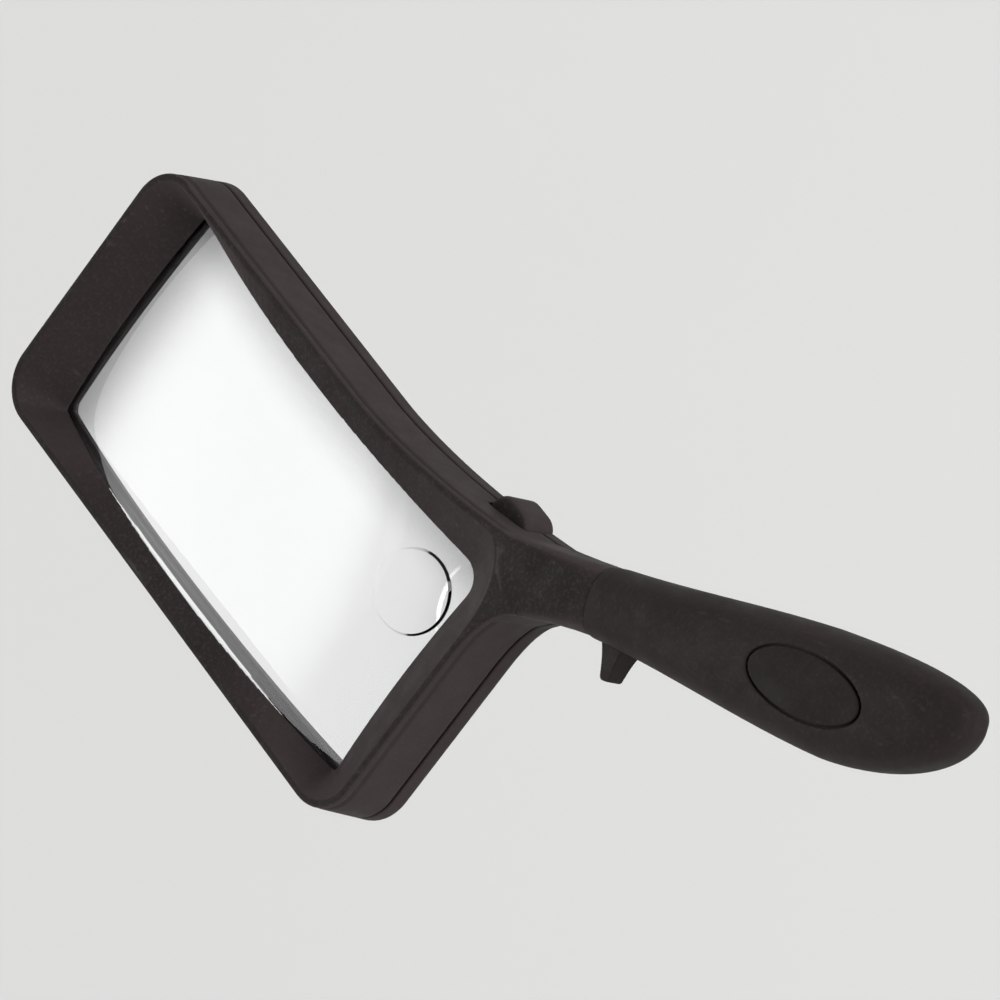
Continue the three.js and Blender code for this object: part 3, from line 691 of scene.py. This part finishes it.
def front_funnel():
    """An upright lip round the lens border, then ruled faces up to the rim."""

    def border(z_at):
        return sight_ring(*SIGHT_HALF, SIGHT_CORNER, NECK_SIDE_CORNER, z_at)

    rim_half = FRAME_HALF - Vector((RIM_WIDTH, RIM_WIDTH))
    rim = sight_ring(*rim_half, FRAME_CORNER - RIM_WIDTH, NECK_SIDE_RIM_CORNER, lambda point: RIM_Z)
    for point in rim:
        if point.y > 0:
            point.y += flare_rise(point.x) * (point.y / rim_half.y) ** 2
    over_lens = border(lambda point: front_surface(point.length) + LIP)
    return loft([border(lambda point: 0), over_lens, rim, [point + Vector((0, 0, 5)) for point in rim]])


def lens_seat():
    room = join(lens_blank(0.1), post(0, 0, -1, 7.5, 58.5, 96))
    return common(room, lens_prism(HALF_GAP))


def side_pockets(low, high):
    min_x, max_x = LENS_HALF.x + WALL, FRAME_HALF.x - WALL
    return box(-max_x, -min_x, -15, 15, low, high), box(min_x, max_x, -15, 10, low, high)


NECK_SCREW_ALONG, NECK_SCREW_ACROSS = 75.5, 2.3


def neck_hollow():
    inside = common(neck_form(WALL, 1), box(64, FAR, -20, 20, -5, 20))
    return turned(cut(inside, post(NECK_SCREW_ALONG, NECK_SCREW_ACROSS, -5, 20, 2.5)))


def lead_tunnel():
    return turned(join(box(53.4, 70, 5.4, 8, 3, 12), box(53.4, 58.2, 5.4, 9.2, 3, 12)))


LAMP_MIN_X, LAMP_MAX_X, LAMP_MIN_Y, LAMP_MAX_Y, LAMP_TOP = 41.4, 51.6, 27.3, 37, 8.2
LAMP_CORNER = 3.6
LAMP_X, LAMP_Y = 46.5, 31.6


def lamp_plan(grow):
    middle = Vector(((LAMP_MIN_X + LAMP_MAX_X) / 2, (LAMP_MIN_Y + LAMP_MAX_Y) / 2))
    half_x, half_y = (LAMP_MAX_X - LAMP_MIN_X) / 2, (LAMP_MAX_Y - LAMP_MIN_Y) / 2
    return [point + middle for point in rounded_rectangle(half_x + grow, half_y + grow, LAMP_CORNER)]


def rear_screws():
    """Where the five rear frame screws stand, in the lens's axes."""
    names = [f"frame_screw_{i}" for i in range(1, 5)] + ["neck_screw"]
    boxes = [node_box(name, LENS_AXES) for name in names]
    return [(name, (low + high) / 2, low.z) for name, (low, high) in zip(names, boxes)]


FRONT_PROFILE = [
    # z and inset: lower edge, wall, groove under the rim, bead
    (PARTING + HALF_GAP, 0.25), (4.65, 0), (13.4, 0), (13.7, 0.3), (14.1, 0.5), (14.45, 0.3), (14.7, 0.05),
    (15.3, 0.05), (15.6, 0.25), (RIM_Z, 0.6),
]
REAR_PROFILE = [(0, 1.1), (0.3, 0.5), (0.9, 0.1), (1.4, 0), (3.75, 0), (PARTING - HALF_GAP, 0.25)]


def make_front_frame():
    low = PARTING + HALF_GAP
    neck = common(turned(neck_form(0, NECK_OVERRUN)), box(-FAR, FAR, -FAR, FAR, low, FAR))
    outer = join(frame_body(FRONT_PROFILE), neck)
    bores = [post(place.x, place.y, 0, 11.2, 1.2, 24) for name, place, z in rear_screws()]
    rooms = [front_funnel(), lens_seat(), *side_pockets(3, 8.6), neck_hollow(), lead_tunnel()]
    rooms.append(prism(lamp_plan(0.3), -1, LAMP_TOP + 0.3))
    peg_hole = post(TONGUE_PEG_X, TONGUE_PEG_Y, 0, 20, 0.85, 24)
    tongue = cut(box(82.2, 95.2, 4.7, 6.8, 5.9, 11.7), peg_hole)
    work = join(cut(outer, *rooms, *bores), turned(tongue))
    softened(work, 0.24, 3, 0.3)
    piece(work, "front_moulding", LENS_AXES, "magnifier", FRAME_PLASTIC, ["front_frame"])


def screw_room(x, y, shoulder):
    return join(post(x, y, -1, shoulder, 2.2), post(x, y, -1, 9, 1.25))


def make_rear_frame():
    high = PARTING - HALF_GAP
    neck = common(turned(neck_form(0, NECK_OVERRUN)), box(-FAR, FAR, -FAR, FAR, 0, high))
    tray = join(frame_body(REAR_PROFILE), neck)
    flare = REAR_SIGHT_HALF + Vector((REAR_FLARE, REAR_FLARE))
    rear_view = loft([
        sight_ring(*flare, REAR_CORNER, REAR_CORNER, lambda point: -1),
        sight_ring(*REAR_SIGHT_HALF, SIGHT_CORNER, REAR_CORNER, lambda point: 8)])
    lens_room = common(join(lens_blank(HALF_GAP), post(0, 0, 7, 20, 59, 96)), lens_prism(HALF_GAP))
    rooms = [rear_view, lens_room, *side_pockets(WALL, 8), neck_hollow(), prism(lamp_plan(0.3), -1, LAMP_TOP)]
    rooms += [screw_room(place.x, place.y, 2) for name, place, z in rear_screws()]
    work = softened(cut(tray, *rooms), 0.24, 3, 0.3)
    piece(work, "rear_moulding", LENS_AXES, "magnifier", FRAME_PLASTIC, ["rear_frame"])


# ---------------------------------------------------------------- handle mouldings

OVAL_X, OVAL_Y, OVAL_LENGTH, OVAL_WIDTH, OVAL_FLOOR = 138, 1.7, 25.4, 10.8, 16.2
OVAL_TILT = math.radians(-5)
HANDLE_SCREW_X, HANDLE_SCREW_Y = 95.2, -0.3
TONGUE_PEG_X, TONGUE_PEG_Y = 92, 5.85
PIVOT_X, PIVOT_Y, PIN_RADIUS, TRIGGER_LOW, TRIGGER_HIGH = 89.6, 0.2, 0.9, 5.3, 10.9
TRIGGER_TIP_Y, TRIGGER_TIP_LOW, TRIGGER_ROOT_Y = -10.3, 7.3, -4


def cell_tube(start, end):
    return rod(start, end, CELL_TUBE_RADIUS)


def thumb_oval(grow, low):
    outline = []
    steps = 96
    for i in range(steps):
        angle = 2 * math.pi * i / steps
        x, y = (OVAL_LENGTH / 2 + grow) * math.cos(angle), (OVAL_WIDTH / 2 + grow) * math.sin(angle)
        outline.append(Vector((
            OVAL_X + x * math.cos(OVAL_TILT) - y * math.sin(OVAL_TILT),
            OVAL_Y + x * math.sin(OVAL_TILT) + y * math.cos(OVAL_TILT))))
    return prism(outline, low, 25)


def make_front_shell():
    shell = common(handle_form(0, rounded=0.25), box(-FAR, FAR, -FAR, FAR, PARTING + HALF_GAP, FAR))
    end = PLATE_X + 0.9
    rooms = [
        common(handle_form(SHELL_WALL, JOINT_X - 1), box(0, end, -30, 30, -5, 30)),
        cell_tube(FIRST_CELL_X - 1.4, PLATE_X - 3),
        common(box(94, end, 1.8, 5, CELL_Z, 15.2), handle_form(0.7)),
        box(86.8, 94.6, -12, -1, 0, TRIGGER_HIGH + 0.4),
    ]
    ribs = cut(box(PLATE_X - 1.6, PLATE_X - 0.4, -3, 10, 9, 15), box(161, 164, -1.6, 8.4, 5, 15.3))
    bosses = join(
        post(PIVOT_X, PIVOT_Y, TRIGGER_HIGH + 0.4, 15.5, 2),
        post(HANDLE_SCREW_X, HANDLE_SCREW_Y, PARTING + HALF_GAP, 15.5, 2.1),
        post(TONGUE_PEG_X, TONGUE_PEG_Y, 4.9, 15.5, 0.6), ribs)
    bores = [
        post(PIVOT_X, PIVOT_Y, 0, 14.2, PIN_RADIUS + 0.1),
        post(HANDLE_SCREW_X, HANDLE_SCREW_Y, 0, 12, 1.2),
        thumb_oval(0.45, OVAL_FLOOR),
    ]
    work = cut(join(cut(shell, *rooms), common(bosses, handle_form(0.5))), *bores)
    softened(work, 0.22, 3, 0.3)
    piece(
        work, "handle_top", HANDLE_AXES, "magnifier", HANDLE_PLASTIC,
        ["handle_front_shell"])


def make_inlay():
    work = common(handle_form(0), thumb_oval(-0.1, OVAL_FLOOR + 0.3))
    softened(work, 0.15, 5, 0.5)
    piece(work, "thumb_pad", HANDLE_AXES, "magnifier", INLAY_PLASTIC, ["thumb_inlay"])


def latch_room():
    return common(box(93.3, SWITCH_END_X + 1, 2.6, 6.7, -5, 9), handle_form(0.7))


def make_rear_shell():
    high = PARTING - HALF_GAP
    shell = common(handle_form(0, rounded=0.25), box(0, SWITCH_END_X, -30, 30, -5, high))
    hollow = common(handle_form(SHELL_WALL, JOINT_X - 1), box(0, SWITCH_END_X + 1, -30, 30, -5, 10))
    bosses = join(post(PIVOT_X, PIVOT_Y, 1.2, high, 2), post(HANDLE_SCREW_X, HANDLE_SCREW_Y, 1, high, 2.6))
    inside = common(handle_form(0.2), box(0, SWITCH_END_X, -30, 30, -5, 10))
    work = cut(
        join(cut(shell, hollow), common(bosses, inside)),
        post(PIVOT_X, PIVOT_Y, 2.2, 9, PIN_RADIUS + 0.1),
        screw_room(HANDLE_SCREW_X, HANDLE_SCREW_Y, 2.3),
        latch_room())
    softened(work, 0.18, 3, 0.5)
    piece(
        work, "switch_shell", HANDLE_AXES, "magnifier", HANDLE_PLASTIC,
        ["handle_rear_shell"])


def make_cover():
    """The sliding battery cover, with five grip grooves and a latch tongue."""
    high = PARTING - HALF_GAP
    shell = common(handle_form(0), box(SWITCH_END_X + 0.3, FAR, -30, 30, -5, high))
    hollow = common(handle_form(SHELL_WALL, JOINT_X - 1), box(0, PLATE_X + 1, -30, 30, -5, 30))
    latch = common(box(93.6, SWITCH_END_X + 2.2, 2.9, 6.4, -5, 3.2), handle_form(0.85))
    tongue = cut(latch, handle_form(1.35))
    grooves = [
        box(x, x + 1.2, -3, 8, -5, HANDLE_Z - half_thickness(x) + 0.5) for x in range(104, 117, 3)]
    work = cut(join(cut(shell, hollow), tongue), cell_tube(0, PLATE_X - 3), *grooves)
    softened(work, 0.17, 2, 0.4)
    piece(work, "battery_door", HANDLE_AXES, "cover", HANDLE_PLASTIC, ["battery_cover"])


def bezier(start, lead, end, steps=12):
    """A quadratic curve without its first point."""
    places = []
    for i in range(1, steps + 1):
        t = i / steps
        places.append((1 - t) ** 2 * start + 2 * t * (1 - t) * lead + t * t * end)
    return places


def trigger_taper():
    """A wedge under the stub, which thins it from its root towards its tip."""
    slope = (TRIGGER_TIP_LOW - TRIGGER_LOW) / (TRIGGER_ROOT_Y - TRIGGER_TIP_Y)
    side = [
        (TRIGGER_ROOT_Y + 1 / slope, TRIGGER_LOW - 1),
        (TRIGGER_TIP_Y - 2, TRIGGER_TIP_LOW + 2 * slope),
        (TRIGGER_TIP_Y - 2, TRIGGER_LOW - 1),
    ]
    return loft([[Vector((x, y, z)) for y, z in side] for x in (84, 96)])


def make_trigger():
    outline = [Vector((PIVOT_X - 2, PIVOT_Y)), Vector((87.3, -3.2))]
    outline += bezier(outline[-1], Vector((88.6, -5.2)), Vector((89.5, -9.5)))
    outline += bezier(outline[-1], Vector((89.7, -10.3)), Vector((90.4, -10.3)))
    outline.append(Vector((91.2, -10.3)))
    outline += bezier(outline[-1], Vector((91.9, -10.3)), Vector((91.9, -9.5)))
    outline += bezier(outline[-1], Vector((92, -6.4)), Vector((92.9, -4.4)))
    outline.append(Vector((92.6, 2.4)))
    outline += bezier(outline[-1], Vector((92.3, 3.1)), Vector((91.4, 3)))
    outline.append(Vector((PIVOT_X, 2.4)))
    lever = join(
        prism(outline, TRIGGER_LOW, TRIGGER_HIGH), post(PIVOT_X, PIVOT_Y, TRIGGER_LOW, TRIGGER_HIGH, 2.2))
    work = cut(lever, trigger_taper(), post(PIVOT_X, PIVOT_Y, 0, 20, PIN_RADIUS + 0.05))
    softened(work, 0.12, 5, 0.5)
    piece(work, "switch_trigger", HANDLE_AXES, "trigger", HANDLE_PLASTIC, ["trigger"])


# ---------------------------------------------------------------- lamp


def make_lamp():
    profile = [(0, 0.7), (0.3, 0.25), (0.9, 0), (7.0, 0), (7.6, 0.2), (8.0, 0.65), (LAMP_TOP, 1.3)]
    pod = stack(lamp_plan(0), profile)
    work = cut(pod, post(LAMP_X, LAMP_Y, -1, 6.6, 4.1), post(LAMP_X, LAMP_Y, 6, 9, 1.9))
    softened(work, 0.15, 3, 0.4)
    piece(work, "lamp_pod", LENS_AXES, "magnifier", FRAME_PLASTIC, ["lamp_housing"])

    at_lamp = LENS_AXES @ Matrix.Translation((LAMP_X, LAMP_Y, 0))
    outer = turned_solid([(0, 1.6), (3.75, 1.6), (3.75, 2), (2.5, 6.3), (0, 6.3)], 96)
    bowl = [(0, 1.5)] + [(1.85 + 1.45 * math.sqrt(i / 12), 6.4 - 4.9 * i / 12) for i in range(12, -1, -1)]
    cup = cut(outer, turned_solid(bowl + [(0, 6.4)], 96))
    sharp(piece(cup, "reflector_cup", at_lamp, "magnifier", SILVERED, ["lamp_reflector"]))

    dome = [(0, 2.6)]
    angles = [math.pi / 2 * i / 12 for i in range(1, 13)]
    dome += [(1.5 * math.sin(angle), 4.1 - 1.5 * math.cos(angle)) for angle in angles]
    dome += [(1.5, 6.7), (1.75, 6.75), (1.75, 7.3), (1.6, 7.4), (0, 7.4)]
    bulb = turned_solid(dome, 64)
    sharp(piece(bulb, "led_bulb", at_lamp, "magnifier", LAMP_CLEAR, ["lamp_bulb"]))
    legs = join(box(-0.95, -0.45, -0.25, 0.25, 7.45, 9.6), box(0.45, 0.95, -0.25, 0.25, 7.45, 9.6))
    sharp(piece(legs, "led_legs", at_lamp, "magnifier", STEEL))

    steps = [(0, 0.3), (3.7, 0.3), (3.9, 0.5), (3.9, 1.3)]
    for ring in range(5, 0, -1):
        steps += [(0.72 * ring, 1.3), (0.72 * ring - 0.12, 1.05)]
    window = turned_solid(steps + [(0, 1.12)], 96)
    sharp(piece(window, "lamp_glass", at_lamp, "magnifier", LAMP_CLEAR, ["lamp_window"]), 20)


# ---------------------------------------------------------------- screws, cells, contacts and leads


def make_screw(node, axes):
    """A pan head with a cross recess below, and a threaded shank."""
    low, high = node_box(node, axes)
    middle = (low + high) / 2
    head, shank = 2.0, 1.1
    angles = [math.pi / 2 * i / 8 for i in range(1, 9)]
    profile = [(0, 0)] + [(head * math.sin(angle), 0.6 - 0.6 * math.cos(angle)) for angle in angles]
    profile += [(head, 1.5), (shank, 1.5)]
    pitch, tip = 0.8, high.z - low.z
    z = 1.7
    while z + pitch < tip - 0.5:
        profile += [(shank * 0.78, z), (shank * 0.78, z + pitch * 0.35), (shank, z + pitch * 0.65)]
        z += pitch
    profile += [(shank * 0.7, tip - 0.5), (0, tip)]
    recess = [box(-1.15, 1.15, -0.24, 0.24, -1, 0.62), box(-0.24, 0.24, -1.15, 1.15, -1, 0.62)]
    work = cut(turned_solid(profile, 48), *recess)
    place = axes @ Matrix.Translation((middle.x, middle.y, low.z))
    sharp(piece(work, f"{node}_turned", place, "magnifier", STEEL, [node]))


def cell_solid(start, profile):
    """A solid of revolution on the cells' axis; heights run along the handle from start."""
    work = turned_solid(profile, 96)
    work.data.transform(
        Matrix.Translation((start, CELL_Y, CELL_Z)) @ Matrix.Rotation(math.pi / 2, 4, "Y"))
    return work


def make_cell(number, start):
    node = f"battery_{number}"
    jacket_profile = [(0, 1.35), (5.3, 1.35), (5.85, 1.5), (6, 1.8), (6, 22.4), (0, 22.4)]
    band_profile = [(0, 22.45), (6, 22.45), (6, 29.2), (5.85, 29.55), (5.3, 29.7), (0, 29.7)]
    top_profile = [(0, 0), (1.8, 0), (2, 0.15), (2, 0.95), (2.3, 1.05), (4.6, 1.05), (5.1, 1.3), (0, 1.3)]
    base_profile = [
        (0, 29.75), (5.2, 29.75), (5.0, 30.05), (4.4, 30.2), (3.6, 30.2), (3.4, 30.05), (0, 30.05)]
    for name, profile, slot, material, nodes in (
        (f"{node}_jacket", jacket_profile, "cell_jacket", CELL_JACKET, [node]),
        (f"{node}_band", band_profile, "cell_jacket", CELL_BAND, []),
        (f"{node}_cap", top_profile, "screw_steel", STEEL, []),
        (f"{node}_base", base_profile, "screw_steel", STEEL, []),
    ):
        sharp(piece(cell_solid(start, profile), name, HANDLE_AXES, "magnifier", material, nodes))


def make_wire(name, route, radius, material, node):
    """A round wire through points in the handle's axes."""
    curve = bpy.data.curves.new(name, "CURVE")
    curve.dimensions = "3D"
    curve.bevel_depth = radius * MM
    curve.bevel_resolution = 4
    curve.resolution_u = 8
    curve.use_fill_caps = True
    spline = curve.splines.new("BEZIER")
    spline.bezier_points.add(len(route) - 1)
    for point, place in zip(spline.bezier_points, route):
        point.co = HANDLE_AXES @ Vector(place)
        point.handle_left_type = point.handle_right_type = "AUTO"
    wire = bpy.data.objects.new(name, curve)
    bpy.context.scene.collection.objects.link(wire)
    curve.materials.append(material)
    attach(wire, "magnifier")
    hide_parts(node)


def make_spring():
    start, end = PLATE_X - 0.45, FIRST_CELL_X + 2 * CELL_LENGTH + 0.95
    turns, steps = 2.5, 60
    route = []
    for i in range(steps + 1):
        t = i / steps
        angle = 2 * math.pi * turns * t
        radius = blend_value(2.5, 1.8, t)
        route.append((
            blend_value(start, end, t), CELL_Y + radius * math.cos(angle), CELL_Z + radius * math.sin(angle)))
    make_wire("cell_spring", route, 0.3, STEEL, "negative_spring")


def finish_cad_node(node, material, edge_mm):
    """A CAD node whose shape is right keeps it, with broken edges and a better material."""
    part = frame["nodes"][node]
    for place in part.material_slots:
        place.material = material
    bevel = part.modifiers.new("broken_edges", "BEVEL")
    bevel.width = edge_mm * MM
    bevel.segments = 2
    bevel.limit_method = "ANGLE"
    bevel.angle_limit = math.radians(40)


CELL_BAND = jacket("cell_band", (0.42, 0.3, 0.12), 0.3)

make_lens()
make_front_frame()
make_rear_frame()
make_front_shell()
make_inlay()
make_rear_shell()
make_cover()
make_trigger()
make_lamp()
for screw_name, screw_place, screw_z in rear_screws():
    make_screw(screw_name, LENS_AXES)
make_screw("handle_screw", HANDLE_AXES)
for cell_number in (1, 2):
    make_cell(cell_number, FIRST_CELL_X + (cell_number - 1) * (CELL_LENGTH + 0.3))
make_spring()
make_wire(
    "lead_red",
    [(86.7, 3.4, 11.3), (84, 3.5, 10.9), (81, 4.3, 10.4), (78, 5.7, 9.8), (73, 5.8, 9.4), (68, 6.3, 9.4),
     (63, 6.9, 9.8), (57.4, 7.3, 10.4)],
    0.45, RED_JACKET, "red_lead")
make_wire(
    "lead_black",
    [(94.2, 3.3, 14), (90.5, 3.7, 13.8), (87, 2.7, 13.2), (82, -0.5, 11.8), (78, -1.3, 11.2),
     (73, -1.2, 10.9), (69, 1.8, 11), (65.6, 5.8, 11.1), (62, 6.6, 11.2), (55.4, 6.9, 11.2)],
    0.45, BLACK_JACKET, "black_lead")
for contact in ("contact_arm", "switch_contact", "negative_strip"):
    finish_cad_node(contact, BRASS, 0.06)
finish_cad_node("trigger_pin", STEEL, 0.15)

# ---------------------------------------------------------------- stage, light and camera

FLOOR_DROP = 0.45
ROOM_BRIGHTNESS, GLOW_BRIGHTNESS, SIDE_BRIGHTNESS = 0.32, 3.3, 5
GLOW_TOWARDS = (-0.45, -0.37, 0.8)
GLOW_INNER, GLOW_OUTER = 18, 44  # degrees off the middle of the glow


def pale_material(name, shade):
    material, nodes, links, shader = tree_of(name)
    paper = tuple(channel * 0.985 for channel in shade)
    links.new(
        mixed(nodes, links, spread(nodes, links, noise(nodes, links, 400), 0, 1), shade, paper),
        shader.inputs["Base Color"])
    shader.inputs["Roughness"].default_value = 0.9
    shader.inputs["Specular IOR Level"].default_value = 0.1
    return material


def make_floor():
    reach = 12
    mesh = bpy.data.meshes.new("floor")
    mesh.from_pydata(
        [(-reach, -reach, -FLOOR_DROP), (reach, -reach, -FLOOR_DROP), (reach, reach, -FLOOR_DROP),
         (-reach, reach, -FLOOR_DROP)], [], [(0, 1, 2, 3)])
    mesh.materials.append(pale_material("floor_paper", (0.65, 0.65, 0.64)))
    floor = bpy.data.objects.new("floor", mesh)
    bpy.context.scene.collection.objects.link(floor)


def soft_light(name, towards, distance, width, height, brightness, target):
    """A rectangular soft light; brightness is what its surface gives out."""
    light = bpy.data.lights.new(name, "AREA")
    light.shape = "RECTANGLE"
    light.size, light.size_y = width, height
    light.energy = brightness * math.pi * width * height
    lamp = bpy.data.objects.new(name, light)
    direction = Vector(towards).normalized()
    lamp.location = target + direction * distance
    lamp.rotation_mode = "QUATERNION"
    lamp.rotation_quaternion = direction.to_track_quat("Z", "Y")
    lamp.visible_camera = False
    bpy.context.scene.collection.objects.link(lamp)


def make_lights():
    """An even grey room with one broad soft glow over the lens, and a soft light on the near walls."""
    world = bpy.data.worlds.new("studio")
    world.use_nodes = True
    nodes, links = world.node_tree.nodes, world.node_tree.links
    place = nodes.new("ShaderNodeTexCoord")
    nearness = nodes.new("ShaderNodeVectorMath")
    nearness.operation = "DOT_PRODUCT"
    nearness.inputs[1].default_value = Vector(GLOW_TOWARDS).normalized()
    links.new(place.outputs["Generated"], nearness.inputs[0])
    glow = nodes.new("ShaderNodeMapRange")
    glow.interpolation_type = "SMOOTHSTEP"
    glow.inputs["From Min"].default_value = math.cos(math.radians(GLOW_OUTER))
    glow.inputs["From Max"].default_value = math.cos(math.radians(GLOW_INNER))
    glow.inputs["To Min"].default_value = ROOM_BRIGHTNESS
    glow.inputs["To Max"].default_value = GLOW_BRIGHTNESS
    links.new(nearness.outputs["Value"], glow.inputs["Value"])
    background = nodes["Background"]
    background.inputs["Color"].default_value = (0.995, 0.995, 1.0, 1)
    links.new(glow.outputs["Result"], background.inputs["Strength"])
    bpy.context.scene.world = world
    soft_light("side", (0.75, 0.62, 0.25), 1.8, 1.2, 0.8, SIDE_BRIGHTNESS, centre("main_lens"))


def make_camera():
    right = Vector((0.5116, 0.566, -0.6465))
    down = Vector((0.6512, -0.7462, -0.138))
    onward = right.cross(down)
    from_lens = Vector((742.6, 472.5, 944.9)) * MM
    data = bpy.data.cameras.new("camera")
    data.sensor_width = 36
    data.lens = 255.8
    data.clip_start, data.clip_end = 0.05, 60
    camera = bpy.data.objects.new("camera", data)
    lens = centre("main_lens")
    place = Matrix.Translation((lens.x + from_lens.x, lens.y + from_lens.y, from_lens.z))
    camera.matrix_world = place @ Matrix((
        (right.x, -down.x, -onward.x, 0),
        (right.y, -down.y, -onward.y, 0),
        (right.z, -down.z, -onward.z, 0),
        (0, 0, 0, 1),
    ))
    bpy.context.scene.collection.objects.link(camera)
    bpy.context.scene.camera = camera


make_floor()
make_lights()
make_camera()
bpy.context.scene.view_settings.view_transform = "Standard"
